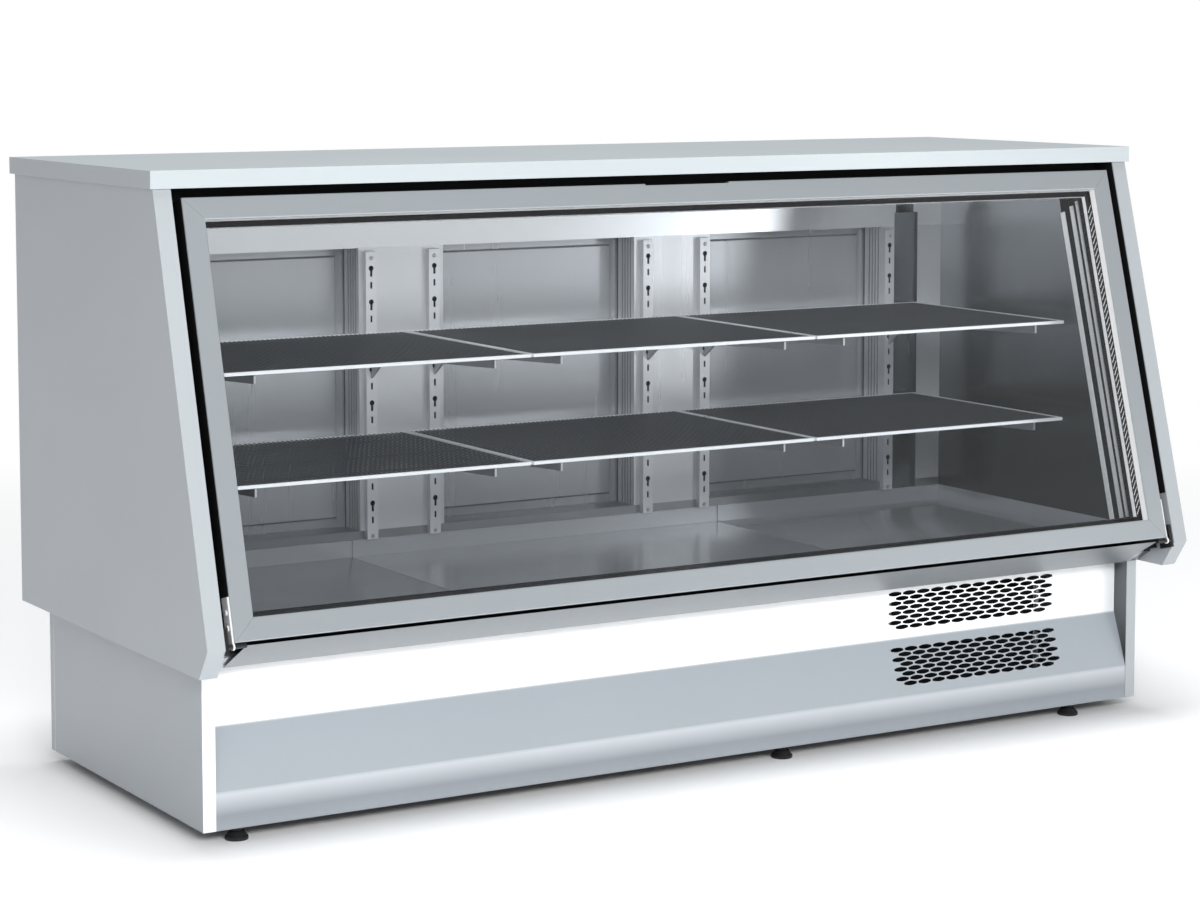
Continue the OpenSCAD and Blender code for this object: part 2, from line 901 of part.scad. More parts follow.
// The suction line, the liquid line and the drain, from the base to the evaporator.
module refrigerant_lines() {
    radii = [5, 3.5, 5];
    base_pipe_d = 226;
    base_pipe_z = 250;
    color("peru")
        for (i = [-1:1]) {
            r = radii[i + 1];
            x = pipe_x + i * pipe_step;
            y0 = y_at(base_pipe_d + i * pipe_step);
            y1 = y_at(pipe_d);
            y2 = y_at(evap_pipe_d + i * pipe_step);
            path = [
                [comp_x + 130, y0, base_pipe_z], [x, y0, base_pipe_z], [x, y1, base_pipe_z],
                [x, y1, evap_pipe_z], [x, y2, evap_pipe_z], [evap_x + 278, y2, evap_pipe_z]
            ];
            for (k = [1:len(path) - 1])
                pipe_run(path[k - 1], path[k], r);
        }
}

// --- front door ---
door_glass_inset = frame_w - 8;
glass_n0 = 17;
glass_n1 = 36;
spacer_w = 17;

module door_frame() {
    pull_x = 86;
    color("silver")
        on_front()
            difference() {
                span([-door_x, 0, door_s0], [door_x, frame_t, door_s1]);
                span([-door_x + frame_w, -1, door_s0 + frame_w],
                     [door_x - frame_w, frame_t + 1, door_s1 - frame_w]);
                span([-door_x + door_glass_inset - 1, glass_n0 - 0.2, door_s0 + door_glass_inset - 1],
                     [door_x - door_glass_inset + 1, glass_n1 + 0.2, door_s1 - door_glass_inset + 1]);
                span([-pull_x, -1, door_s1 - 3.2], [pull_x, 26, door_s1 + 1]);
            }
}

module pane(n0) {
    on_front()
        span([-door_x + door_glass_inset, n0, door_s0 + door_glass_inset],
             [door_x - door_glass_inset, n0 + pane_t, door_s1 - door_glass_inset]);
}

module door_glass_outer() { color("lightblue", 0.3) pane(glass_n0); }
module door_glass_inner() { color("lightblue", 0.3) pane(glass_n1 - pane_t); }

// The spacer bar between the two panes.
module glass_spacer() {
    edge = door_glass_inset + spacer_w;
    color("black")
        on_front()
            difference() {
                span([-door_x + door_glass_inset, glass_n0 + pane_t, door_s0 + door_glass_inset],
                     [door_x - door_glass_inset, glass_n1 - pane_t, door_s1 - door_glass_inset]);
                span([-door_x + edge, 0, door_s0 + edge], [door_x - edge, 50, door_s1 - edge]);
            }
}

module door_gasket() {
    edge = 6;
    w = 14;
    color("black")
        on_front()
            difference() {
                span([-door_x + edge, frame_t, door_s0 + edge], [door_x - edge, jamb_n0 - 0.3, door_s1 - edge]);
                span([-door_x + edge + w, frame_t - 1, door_s0 + edge + w],
                     [door_x - edge - w, jamb_n0 + 1, door_s1 - edge - w]);
            }
}

// A leaf screwed to each stile, with an eye on the hinge pin and a foot under the rail.
module door_hinge_leaves() {
    color("whitesmoke")
        both_sides()
            on_front()
                difference() {
                    union() {
                        span([door_x, 2, hinge_s], [door_x + 3, 24, 82]);
                        rod_x(door_x, door_x + 3, hinge_n, hinge_s, eye_r);
                        for (s = [34, 58])
                            rod_x(door_x + 3 - eps, door_x + 5, 13, s, 4.5);
                    }
                    rod_x(door_x - 1, door_x + 6, hinge_n, hinge_s, pin_r + run_gap);
                }
}

// The cabinet's hinge plates and pins, in the pockets beside the fascia.
module front_hinge_brackets() {
    color("black")
        both_sides()
            on_front() {
                span([x_in - 7, 3, -8], [x_in, 34, 34]);
                rod_x(x_in - pocket_w + 1, x_in - 6, hinge_n, hinge_s, pin_r);
            }
}

// --- rear doors ---
// Draws a rear door's part for the bay at x, from the opening's centre.
module in_bay(bay) {
    translate([bay * bay_pitch, 0, 0])
        children();
}

// The folded outer pan with a grip folded along its free edge.
module rear_door_pan() {
    x = rear_w / 2;
    z1 = rear_z0 + rear_h;
    y1 = y_at(rear_out_d);
    y0 = y1 - rear_pan_t;
    grip = 26;
    difference() {
        span([-x, y0, rear_z0], [x, y1, z1]);
        span([-x + grip, y0 - 1, rear_z0 + skin_t], [x - skin_t, y1 - skin_t, z1 - skin_t]);
        span([-x - 1, y0 + 8, rear_z0 + 60], [-x + grip - skin_t, y1 - 3, z1 - 60]);
        for (z = [rear_z0 - 1, z1 - 20])
            translate([x - rear_pin_inset, y_at(rear_pin_d), z])
                cylinder(h = 21, r = rear_pin_r + run_gap);
    }
}

module rear_door_left() { color("silver") in_bay(-1) rear_door_pan(); }
module rear_door_middle() { color("silver") in_bay(0) rear_door_pan(); }
module rear_door_right() { color("silver") in_bay(1) rear_door_pan(); }

// The plastic inner liner that closes the pan, with a shallow raised panel.
module rear_door_liner() {
    x = rear_w / 2;
    z1 = rear_z0 + rear_h;
    y1 = y_at(rear_out_d + rear_pan_t);
    y0 = y1 - rear_liner_t;
    rim = 44;
    span([-x + 2, y0, rear_z0 + 2], [x - 2, y1, z1 - 2]);
    span([-x + rim, y0 - 6, rear_z0 + rim], [x - rim, y0 + eps, z1 - rim]);
}

module rear_door_liner_left() { color("lightgray") in_bay(-1) rear_door_liner(); }
module rear_door_liner_middle() { color("lightgray") in_bay(0) rear_door_liner(); }
module rear_door_liner_right() { color("lightgray") in_bay(1) rear_door_liner(); }

module rear_door_gasket() {
    x = rear_w / 2 - 13;
    z0 = rear_z0 + 13;
    z1 = rear_z0 + rear_h - 13;
    y1 = y_at(rear_out_d + rear_pan_t + rear_liner_t);
    y0 = y_at(frame_rear_d) + 0.3;
    w = 12;
    difference() {
        span([-x, y0, z0], [x, y1, z1]);
        span([-x + w, y0 - 1, z0 + w], [x - w, y1 + 1, z1 - w]);
    }
}

module rear_door_gasket_left() { color("dimgray") in_bay(-1) rear_door_gasket(); }
module rear_door_gasket_middle() { color("dimgray") in_bay(0) rear_door_gasket(); }
module rear_door_gasket_right() { color("dimgray") in_bay(1) rear_door_gasket(); }

// Hinge arms above and below each rear door, with the pins that it turns on.
module rear_hinge_brackets() {
    x = rear_w / 2 - rear_pin_inset;
    gap = 1;
    t = 4;
    color("dimgray")
        for (bay = [-1:1], side = [0, 1]) {
            z = side == 0 ? rear_z0 - gap - t : rear_z0 + rear_h + gap;
            pin_z = side == 0 ? z + t - eps : z - 16 + eps;
            in_bay(bay) {
                span([x - 12, y_at(frame_rear_d), z], [x + 12, y_at(rear_pin_d - 9), z + t]);
                translate([x, y_at(rear_pin_d), pin_z])
                    cylinder(h = 16, r = rear_pin_r);
                span([x - 12, y_at(frame_rear_d), side == 0 ? z - 26 : z],
                     [x + 12, y_at(frame_rear_d) + 3, side == 0 ? z + t : z + t + 26]);
            }
        }
}

worktop();
side_panel_left();
side_panel_right();
side_liner_left();
side_liner_right();
ceiling_panel();
floor_panel();
front_fascia();
door_jamb();
rear_header();
rear_sill();
rear_pillars();
pipe_cover();
deck_tray_left();
deck_tray_middle();
deck_tray_right();
shelf_uprights();
shelf_brackets();
upper_shelf_left();
upper_shelf_middle();
upper_shelf_right();
lower_shelf_left();
lower_shelf_middle();
lower_shelf_right();
base_chassis();
base_side_left();
base_side_right();
front_cover();
back_cover();
levelling_feet();
compressor();
condenser_coil();
condenser_fan_motor();
drain_tray();
control_box();
cord_gland();
evaporator_coil();
evaporator_cover();
evaporator_fan_motor();
front_hinge_brackets();
rear_hinge_brackets();
refrigerant_lines();
condenser_fan_blades();
rocker_switch();
evaporator_fan_blades();
door_frame();
door_glass_outer();
door_glass_inner();
glass_spacer();
door_gasket();
door_hinge_leaves();
rear_door_left();
rear_door_middle();
rear_door_right();
rear_door_liner_left();
rear_door_liner_middle();
rear_door_liner_right();
rear_door_gasket_left();
rear_door_gasket_middle();
rear_door_gasket_right();
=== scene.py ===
"""Looks for the refrigerated display counter: detailed pieces, materials, studio and camera."""

import json
import math
import bpy
import bmesh
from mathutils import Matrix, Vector


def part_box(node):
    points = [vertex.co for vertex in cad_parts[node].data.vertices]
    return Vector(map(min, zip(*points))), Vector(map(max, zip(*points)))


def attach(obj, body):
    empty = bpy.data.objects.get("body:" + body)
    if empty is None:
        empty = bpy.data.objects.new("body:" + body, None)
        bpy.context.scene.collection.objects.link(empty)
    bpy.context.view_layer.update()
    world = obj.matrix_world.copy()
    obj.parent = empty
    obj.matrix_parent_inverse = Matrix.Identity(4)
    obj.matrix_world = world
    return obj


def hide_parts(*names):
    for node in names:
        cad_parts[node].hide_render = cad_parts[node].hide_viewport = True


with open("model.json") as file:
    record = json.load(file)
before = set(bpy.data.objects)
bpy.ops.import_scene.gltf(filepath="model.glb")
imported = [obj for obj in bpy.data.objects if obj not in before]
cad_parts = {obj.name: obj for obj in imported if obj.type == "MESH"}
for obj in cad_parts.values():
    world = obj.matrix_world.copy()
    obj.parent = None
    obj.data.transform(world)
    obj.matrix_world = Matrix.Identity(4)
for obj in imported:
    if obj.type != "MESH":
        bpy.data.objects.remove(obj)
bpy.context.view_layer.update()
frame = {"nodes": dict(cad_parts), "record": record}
scene = bpy.context.scene

# ---------------------------------------------------------------- dimensions, in metres
# The case is CASE_D deep at CORNER_Z, and leans back to PANEL_TOP_D under the worktop at TOP_Z.
CASE_D = 0.815
TOP_Z = 1.036
CORNER_Z = 0.333
PANEL_TOP_D = 0.623
LEAN = math.atan((CASE_D - PANEL_TOP_D) / (TOP_Z - CORNER_Z))
SLOPE = math.hypot(CASE_D - PANEL_TOP_D, TOP_Z - CORNER_Z)
# The front door's half width, and the places of its foot and head up the slope.
DOOR_X = 0.947
DOOR_S0 = 0.010
DOOR_S1 = SLOPE - 0.015
# The half widths between the side liners, and between the side panels beside the door.
WALL_X = 0.946
GAP_X = 0.963
# The sides of the rear pillars: the faces of their ridges, and the floors of their grooves.
RIDGE_XS = (0.208, 0.382, 0.798)
GROOVE_XS = (0.210, 0.380, 0.800)
UPRIGHT_XS = (0.2325, 0.3625, 0.808)
BAY_PITCH = 0.590
BACK_D = 0.054


def depth(d):
    """The row's Y of a distance forward from the worktop's rear edge."""
    return CASE_D / 2 - d


def front(x, n, s):
    """A point beside the leaning front: n runs inward from it and s runs up it."""
    return Vector((
        x,
        depth(CASE_D) + n * math.cos(LEAN) + s * math.sin(LEAN),
        CORNER_Z - n * math.sin(LEAN) + s * math.cos(LEAN),
    ))


# ---------------------------------------------------------------- materials
class Nodes:
    """A material's node tree, with short calls for the nodes used here."""

    def __init__(self, name):
        self.mat = bpy.data.materials.new(name)
        self.mat.use_nodes = True
        self.tree = self.mat.node_tree
        self.tree.nodes.clear()
        self.out = self.add("ShaderNodeOutputMaterial")
        self.coord = self.add("ShaderNodeTexCoord").outputs["Object"]

    def add(self, kind, **inputs):
        node = self.tree.nodes.new(kind)
        for key, value in inputs.items():
            self.set(node, key.replace("_", " "), value)
        return node

    def set(self, node, socket, value):
        target = node.inputs[socket]
        if isinstance(value, bpy.types.NodeSocket):
            self.tree.links.new(value, target)
        elif isinstance(value, tuple) and len(value) == 3 and target.type == "RGBA":
            target.default_value = (*value, 1)
        else:
            target.default_value = value

    def scaled(self, sx, sy, sz):
        node = self.add("ShaderNodeMapping", Vector=self.coord)
        node.inputs["Scale"].default_value = (sx, sy, sz)
        return node.outputs["Vector"]

    def noise(self, vector, scale, detail):
        node = self.add("ShaderNodeTexNoise", Vector=vector, Scale=scale, Detail=detail)
        return node.outputs["Fac"]

    def remap(self, value, lo, hi, to_lo, to_hi):
        node = self.add("ShaderNodeMapRange", Value=value, From_Min=lo, From_Max=hi,
                        To_Min=to_lo, To_Max=to_hi)
        return node.outputs["Result"]

    def mix(self, factor, a, b):
        """Mixes two colours, by the numbers of the sockets that a Mix node has for colour."""
        node = self.tree.nodes.new("ShaderNodeMix")
        node.data_type = "RGBA"
        for index, value in ((0, factor), (6, a), (7, b)):
            self.set(node, index, value)
        return node.outputs[2]

    def mix_shaders(self, factor, a, b):
        """Mixes two shaders into the material's surface."""
        node = self.add("ShaderNodeMixShader", Fac=factor)
        self.tree.links.new(a.outputs[0], node.inputs[1])
        self.tree.links.new(b.outputs[0], node.inputs[2])
        self.tree.links.new(node.outputs[0], self.out.inputs["Surface"])

    def ramp(self, value, *stops):
        node = self.add("ShaderNodeValToRGB", Fac=value)
        points = node.color_ramp.elements
        while len(points) < len(stops):
            points.new(0.5)
        for point, (place, colour) in zip(points, stops):
            point.position = place
            point.color = (*colour, 1)
        return node.outputs["Color"]

    def bump(self, height, strength, distance):
        node = self.add("ShaderNodeBump", Height=height, Strength=strength, Distance=distance)
        return node.outputs["Normal"]

    def axis(self, name):
        node = self.add("ShaderNodeSeparateXYZ", Vector=self.coord)
        return node.outputs[name]

    def surface(self, **inputs):
        shader = self.add("ShaderNodeBsdfPrincipled")
        for key, value in inputs.items():
            self.set(shader, key.replace("_", " "), value)
        self.tree.links.new(shader.outputs[0], self.out.inputs["Surface"])
        return self.mat


def tint(colour, factor):
    """A colour made darker or lighter."""
    return tuple(min(1.0, c * factor) for c in colour)


def coated_sheet(name, colour, rough=0.36, metallic=0.15):
    """Satin coated sheet steel: faint cloudiness, a fine orange-peel skin and uneven gloss."""
    n = Nodes(name)
    cloud = n.noise(n.scaled(1.0, 1.0, 1.4), 2.2, 4.0)
    base = n.mix(cloud, tint(colour, 0.97), tint(colour, 1.03))
    gloss = n.remap(n.noise(n.coord, 3.5, 2.0), 0.25, 0.75, rough - 0.03, rough + 0.03)
    skin = n.bump(n.noise(n.coord, 420.0, 1.0), 0.02, 0.0002)
    return n.surface(Base_Color=base, Metallic=metallic, Roughness=gloss, Normal=skin)


def brushed(name, colour, along, rough=0.30, metallic=0.9, foot=1.0):
    """Brushed metal: long fine scratches along one axis, with soft bands of gloss.

    foot is the tone low down in the cabinet, as a share of the tone at its top: painted shade,
    darker towards the bottom.
    """
    n = Nodes(name)
    fine = [8 if axis == along else 2600 for axis in "xyz"]
    wide = [1.2 if axis == along else 40 for axis in "xyz"]
    scratch = n.noise(n.scaled(*fine), 1.0, 1.0)
    band = n.noise(n.scaled(*wide), 1.0, 2.0)
    cloud = n.noise(n.coord, 3.2, 3.0)
    base = n.mix(scratch, tint(colour, 0.975), tint(colour, 1.022))
    base = n.mix(n.remap(cloud, 0.3, 0.7, 0.0, 0.10), base, tint(colour, 0.88))
    # Painted shade: the tone darkens towards the bottom, down to foot of it below 0.50 m.
    if foot < 1.0:
        low = n.mix(scratch, tint(colour, 0.975 * foot), tint(colour, 1.022 * foot))
        base = n.mix(n.remap(n.axis("Z"), 0.50, 0.95, 0.0, 1.0), low, base)
    gloss = n.remap(band, 0.25, 0.75, rough - 0.01, rough + 0.02)
    return n.surface(Base_Color=base, Metallic=metallic, Roughness=gloss)


def moulded(name, colour, rough=0.5, grain=700.0, strength=0.12, metallic=0.0, drift=0.15):
    """Moulded plastic or rubber: fine grain, slight cloud and worn gloss."""
    n = Nodes(name)
    cloud = n.noise(n.coord, 5.0, 3.0)
    base = n.mix(cloud, tint(colour, 1 - drift), tint(colour, 1 + drift))
    gloss = n.remap(n.noise(n.coord, 9.0, 2.0), 0.3, 0.7, rough - 0.04, rough + 0.04)
    skin = n.bump(n.noise(n.coord, grain, 2.0), strength, 0.0003)
    return n.surface(Base_Color=base, Metallic=metallic, Roughness=gloss, Normal=skin)


def glazing(name):
    """Float glass: clear to look through, with faint smears and a mirror gloss at a slant."""
    n = Nodes(name)
    smear = n.remap(n.noise(n.scaled(1.0, 1.0, 0.6), 3.0, 4.0), 0.3, 0.7, 0.0, 1.0)
    clear = n.add("ShaderNodeBsdfTransparent",
                  Color=n.mix(smear, (0.988, 0.993, 0.997), (0.978, 0.985, 0.990)))
    shine = n.add("ShaderNodeBsdfGlossy", Color=(1.0, 1.0, 1.0), Roughness=0.015)
    slant = n.add("ShaderNodeLayerWeight", Blend=0.05)
    n.mix_shaders(slant.outputs["Facing"], clear, shine)
    return n.mat


def kick_sheet(name):
    """The front cover's satin sheet, with painted light: a near white band at its top, a painted
    reflection, grey below, with a painted highlight and painted shade on the kick.

    The ramp's places are shares of the cover's 0.30 m height.
    """
    n = Nodes(name)
    height = n.remap(n.axis("Z"), 0.0, 0.30, 0.0, 1.0)
    # Painted light in the ramp: painted shade low on the kick up to 0.15, a painted highlight on
    # its fold at 0.262, and the near white band from 0.614 up as a painted reflection.
    tone = n.ramp(
        height,
        (0.07, (0.31, 0.34, 0.37)), (0.15, (0.26, 0.28, 0.31)), (0.262, (0.52, 0.55, 0.58)),
        (0.283, (0.40, 0.435, 0.47)), (0.600, (0.37, 0.41, 0.445)), (0.614, (0.97, 0.98, 0.99)),
    )
    cloud = n.noise(n.coord, 3.0, 4.0)
    base = n.mix(n.remap(cloud, 0.3, 0.7, 0.0, 0.08), tone, (0.50, 0.54, 0.58))
    gloss = n.remap(n.noise(n.coord, 40.0, 3.0), 0.3, 0.7, 0.30, 0.40)
    skin = n.bump(n.noise(n.coord, 420.0, 2.0), 0.05, 0.0004)
    return n.surface(Base_Color=base, Metallic=0.15, Roughness=gloss, Normal=skin)


PANEL = coated_sheet("panel_coat", (0.355, 0.38, 0.405))
# A lighter copy of the panel paint for front faces: painted light where the front lamps fall.
PAINTED_LIGHT_PANEL = coated_sheet("panel_coat_painted_light", (0.415, 0.445, 0.465))
# A near white copy for the left base side's front face: painted light.
PAINTED_LIGHT_WHITE = coated_sheet("white_coat_painted_light", (0.86, 0.88, 0.90), metallic=0.1)
TOP = coated_sheet("worktop_coat", (0.50, 0.55, 0.57), rough=0.32)
PAINTED_LIGHT_KICK = kick_sheet("front_cover_coat_painted_light")
FASCIA = brushed("fascia_steel", (0.26, 0.28, 0.295), "x", rough=0.34, metallic=0.4)
FRAME_X = brushed("frame_rail_aluminium", (0.45, 0.485, 0.51), "x", rough=0.34, metallic=0.6)
FRAME_S = brushed("frame_stile_aluminium", (0.45, 0.485, 0.51), "z", rough=0.34, metallic=0.6)
STEEL_X = brushed("stainless_along_x", (0.45, 0.46, 0.47), "x")
STEEL_Z = brushed("stainless_along_z", (0.52, 0.53, 0.54), "z")
# Side liner steel with painted shade: darker towards the bottom of the cabinet.
WALL = brushed("wall_stainless_painted_shade", (0.58, 0.61, 0.635), "z", rough=0.24, foot=0.20)
DUCT = brushed("duct_stainless", (0.26, 0.275, 0.29), "z", rough=0.26)
HEADER = brushed("header_stainless", (0.80, 0.81, 0.82), "x", rough=0.20, metallic=0.6)
POST = brushed("post_stainless", (0.76, 0.77, 0.785), "z", rough=0.28, metallic=0.6)
DECK = brushed("deck_stainless", (0.60, 0.615, 0.635), "x", rough=0.22, metallic=0.7)
ZINC = brushed("zinc_plate", (0.60, 0.61, 0.62), "z", rough=0.36)
UPRIGHT = brushed("upright_zinc", (0.80, 0.81, 0.83), "z", rough=0.30, metallic=0.5)
WIRE = brushed("shelf_wire", (0.15, 0.155, 0.165), "y", rough=0.36, metallic=0.7)
RAIL = brushed("shelf_rail", (0.90, 0.91, 0.92), "x", rough=0.28, metallic=0.4)
# Near white paint as painted highlight: on the side liners' beads, the door frame's lip and the
# spacer bar's inner edge.
PAINTED_HIGHLIGHT_WHITE = brushed("painted_highlight_white", (0.97, 0.97, 0.975), "z", rough=0.30, metallic=0.15)
BLACK = moulded("black_moulding", (0.012, 0.012, 0.013), rough=0.55)
BREAKER = moulded("breaker_plastic", (0.004, 0.004, 0.0045), rough=0.8, grain=300.0,
                  strength=0.05)
RUBBER = moulded("gasket_rubber", (0.010, 0.010, 0.011), rough=0.75, grain=500.0)
GREY_RUBBER = moulded("rear_gasket_rubber", (0.10, 0.105, 0.11), rough=0.6, grain=500.0)
LINER = brushed("liner_sheet", (0.53, 0.545, 0.565), "z", rough=0.26, metallic=0.55)
COVER = moulded("cover_plastic", (0.62, 0.64, 0.65), rough=0.32, grain=260.0, strength=0.04,
                drift=0.03)
BLACK_STEEL = moulded("black_enamel", (0.014, 0.014, 0.015), rough=0.25, grain=220.0,
                      strength=0.08)
FIN = brushed("fin_aluminium", (0.70, 0.72, 0.73), "z", rough=0.38)
BLACK_FIN = brushed("black_fin", (0.030, 0.031, 0.033), "z", rough=0.5, metallic=0.3)
FAN = moulded("fan_plastic", (0.55, 0.57, 0.58), rough=0.42, drift=0.04)
SWITCH = moulded("switch_plastic", (0.50, 0.02, 0.015), rough=0.28)
COPPER = brushed("copper_tube", (0.78, 0.40, 0.24), "z", rough=0.30)
FOAM = moulded("pipe_foam", (0.03, 0.03, 0.032), rough=0.85, grain=320.0, strength=0.4)
GLASS = glazing("float_glass")
LENS = moulded("display_window", (0.010, 0.012, 0.016), rough=0.12, grain=60.0, strength=0.01)
SPACER = moulded("spacer_bar", (0.010, 0.010, 0.011), rough=0.5, grain=900.0, strength=0.2,
                 metallic=0.2)
HATCH = brushed("spacer_slats", (0.78, 0.79, 0.81), "x", rough=0.4, metallic=0.3)
STEEL_SCREW = brushed("screw_steel", (0.66, 0.67, 0.68), "z", rough=0.28)


# ---------------------------------------------------------------- mesh helpers
UP = Vector((0, 0, 1))


def make(name, bm, mat, body="case", node=None, smooth=False, bevel=0.0, segments=2, angle=30):
    """Turns a bmesh into a piece that rides on a body and may stand for a CAD node.

    angle, in degrees, is the least between two faces whose edge stays sharp or is bevelled.
    """
    bmesh.ops.remove_doubles(bm, verts=bm.verts, dist=1e-6)
    bmesh.ops.recalc_face_normals(bm, faces=bm.faces)
    mesh = bpy.data.meshes.new(name)
    bm.to_mesh(mesh)
    bm.free()
    obj = bpy.data.objects.new(name, mesh)
    scene.collection.objects.link(obj)
    mats = mat if isinstance(mat, list) else [mat]
    for m in mats:
        mesh.materials.append(m)
    if smooth:
        mesh.shade_smooth()
        mesh.set_sharp_from_angle(angle=math.radians(angle))
    if bevel:
        add_bevel(obj, bevel, segments, angle)
    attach(obj, body)
    if node:
        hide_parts(node)


def add_bevel(obj, width, segments, angle):
    """Rounds a piece's edges with a modifier."""
    mod = obj.modifiers.new("edges", "BEVEL")
    mod.width = width
    mod.segments = segments
    mod.limit_method = "ANGLE"
    mod.angle_limit = math.radians(angle)
    mod.use_clamp_overlap = True
    mod.harden_normals = True
    obj.data.shade_smooth()


def box(bm, lo, hi, move=None):
    """Adds a box; move maps each corner, such as onto the leaning front."""
    corners = [Vector((x, y, z)) for x in (lo[0], hi[0]) for y in (lo[1], hi[1])
               for z in (lo[2], hi[2])]
    v = [bm.verts.new(move(*c) if move else c) for c in corners]
    for quad in ((0, 1, 3, 2), (4, 6, 7, 5), (0, 4, 5, 1),
                 (2, 3, 7, 6), (0, 2, 6, 4), (1, 5, 7, 3)):
        bm.faces.new([v[i] for i in quad])


def frame_of(direction):
    """Two unit vectors square to a direction."""
    w = direction.normalized()
    side = UP if abs(w.z) < 0.9 else Vector((1, 0, 0))
    u = w.cross(side).normalized()
    return u, w.cross(u)


def tube(bm, points, radius, sides=10, caps=True):
    """Adds a tube along points, mitred at each corner; radius may be a list of one per point."""
    points = [Vector(p) for p in points]
    u, v = frame_of(points[1] - points[0])
    rings = []
    for i, p in enumerate(points):
        before = (p - points[i - 1]).normalized() if i else (points[1] - p).normalized()
        after = (points[i + 1] - p).normalized() if i < len(points) - 1 else before
        w = (before + after).normalized()
        u = (u - w * u.dot(w)).normalized()
        v = w.cross(u)
        r = radius[i] if isinstance(radius, list) else radius
        rings.append([bm.verts.new(p + u * r * math.cos(a) + v * r * math.sin(a))
                      for a in (2 * math.pi * k / sides for k in range(sides))])
    for a, b in zip(rings, rings[1:]):
        for k in range(sides):
            bm.faces.new((a[k], a[(k + 1) % sides], b[(k + 1) % sides], b[k]))
    if caps:
        bm.faces.new(list(reversed(rings[0])))
        bm.faces.new(rings[-1])


def rounded(points, radius):
    """The points of a path with its corners rounded."""
    steps = 6
    points = [Vector(p) for p in points]
    out = [points[0]]
    for a, b, c in zip(points, points[1:], points[2:]):
        r = min(radius, (b - a).length * 0.45, (c - b).length * 0.45)
        p0, p1 = b + (a - b).normalized() * r, b + (c - b).normalized() * r
        for i in range(steps + 1):
            t = i / steps
            out.append(p0 * (1 - t) ** 2 + b * 2 * t * (1 - t) + p1 * t ** 2)
    return out + [points[-1]]


def lathe(bm, profile, centre, axis, sides):
    """Adds a turned solid from (radius, height) points, closed where a radius is zero."""
    w = Vector(axis).normalized()
    u, v = frame_of(w)
    centre = Vector(centre)
    rings = []
    for r, h in profile:
        if r < 1e-7:
            rings.append([bm.verts.new(centre + w * h)])
        else:
            rings.append([bm.verts.new(centre + w * h + u * r * math.cos(a) + v * r * math.sin(a))
                          for a in (2 * math.pi * k / sides for k in range(sides))])
    for a, b in zip(rings, rings[1:]):
        for k in range(sides):
            j = (k + 1) % sides
            if len(a) == 1:
                bm.faces.new((a[0], b[j], b[k]))
            elif len(b) == 1:
                bm.faces.new((a[k], a[j], b[0]))
            else:
                bm.faces.new((a[k], a[j], b[j], b[k]))


def ring(bm, profile, x, s0, s1, place, gap=0.0, sides=(0, 1, 2, 3), edges=None):
    """Adds mitred members round a rectangle. A profile point is (inward, depth).

    The sides are foot, right, head and left. Rails take material 0 and stiles 1, apart from the
    profile's edges that are in edges, each with its material.
    """
    for side in sides:
        ends = []
        for end in (0, 1):
            loop = []
            for inward, n in profile:
                g = inward + gap / 2
                if side == 0:
                    p = ((-x + g, x - g)[end], n, s0 + inward)
                elif side == 1:
                    p = (x - inward, n, (s0 + g, s1 - g)[end])
                elif side == 2:
                    p = ((x - g, -x + g)[end], n, s1 - inward)
                else:
                    p = (-x + inward, n, (s1 - g, s0 + g)[end])
                loop.append(bm.verts.new(place(*p)))
            ends.append(loop)
        count = len(profile)
        faces = [bm.faces.new((ends[0][i], ends[0][j], ends[1][j], ends[1][i]))
                 for i, j in ((i, (i + 1) % count) for i in range(count))]
        faces.append(bm.faces.new(ends[0]))
        faces.append(bm.faces.new(list(reversed(ends[1]))))
        for i, f in enumerate(faces):
            f.material_index = (edges or {}).get(i, side % 2)


BODY_OF = {node: body for body, group in frame["record"]["behaviour"]["bodies"].items()
           for node in group}


def refine(node, mat, bevel=0.0, segments=2, pick=None):
    """A copy of a CAD node's mesh with its triangles merged and its edges rounded.

    pick gives the index of a face's material where there are several.
    """
    source = frame["nodes"][node]
    bm = bmesh.new()
    bm.from_mesh(source.data)
    bmesh.ops.remove_doubles(bm, verts=bm.verts, dist=2e-6)
    bmesh.ops.dissolve_limit(bm, angle_limit=math.radians(0.5), verts=bm.verts, edges=bm.edges)
    for f in bm.faces:
        f.normal_update()
        f.material_index = pick(f) if pick else 0
    make(node + "_detailed", bm, mat, body=BODY_OF[node], node=node, smooth=True,
         bevel=bevel, segments=segments)


def paint(node, mats, pick=None):
    """Gives a CAD node its material, or several, where pick gives the index of a face's one."""
    obj = frame["nodes"][node]
    obj.data.materials.clear()
    for m in mats if isinstance(mats, list) else [mats]:
        obj.data.materials.append(m)
    for p in obj.data.polygons:
        p.material_index = pick(p) if pick else 0


# ---------------------------------------------------------------- shell
def faces_front(face):
    """1 for a face that looks towards the front, 0 for any other."""
    return 1 if face.normal.y < -0.8 and abs(face.normal.x) < 0.2 else 0


def cover_slope():
    """The normal of the front cover's sloping face."""
    sloping = [p for p in frame["nodes"]["front_cover"].data.polygons
               if p.normal.y < -0.2 and 0.2 < p.normal.z < 0.95 and abs(p.normal.x) < 0.01]
    return max(sloping, key=lambda p: p.area).normal.copy()


COVER_SLOPE = cover_slope()
VENTS_X0, VENTS_X1, VENTS_Z0 = 0.39, 0.80, 0.06


def vent_edge(face):
    """1 for the edge of a vent slot, painted black as painted shade inside the slot, 0 for the
    sheet around it.
    """
    across = max(abs(face.normal.y), abs(face.normal.dot(COVER_SLOPE)))
    by_vents = VENTS_X0 < face.center.x < VENTS_X1 and face.center.z > VENTS_Z0
    return 1 if by_vents and across < 0.9 else 0


def on_bead(face):
    """1 for a face of the beads that stand on a side liner, 0 for any other."""
    return 1 if abs(face.calc_center_median().x) < WALL_X - 0.0002 else 0


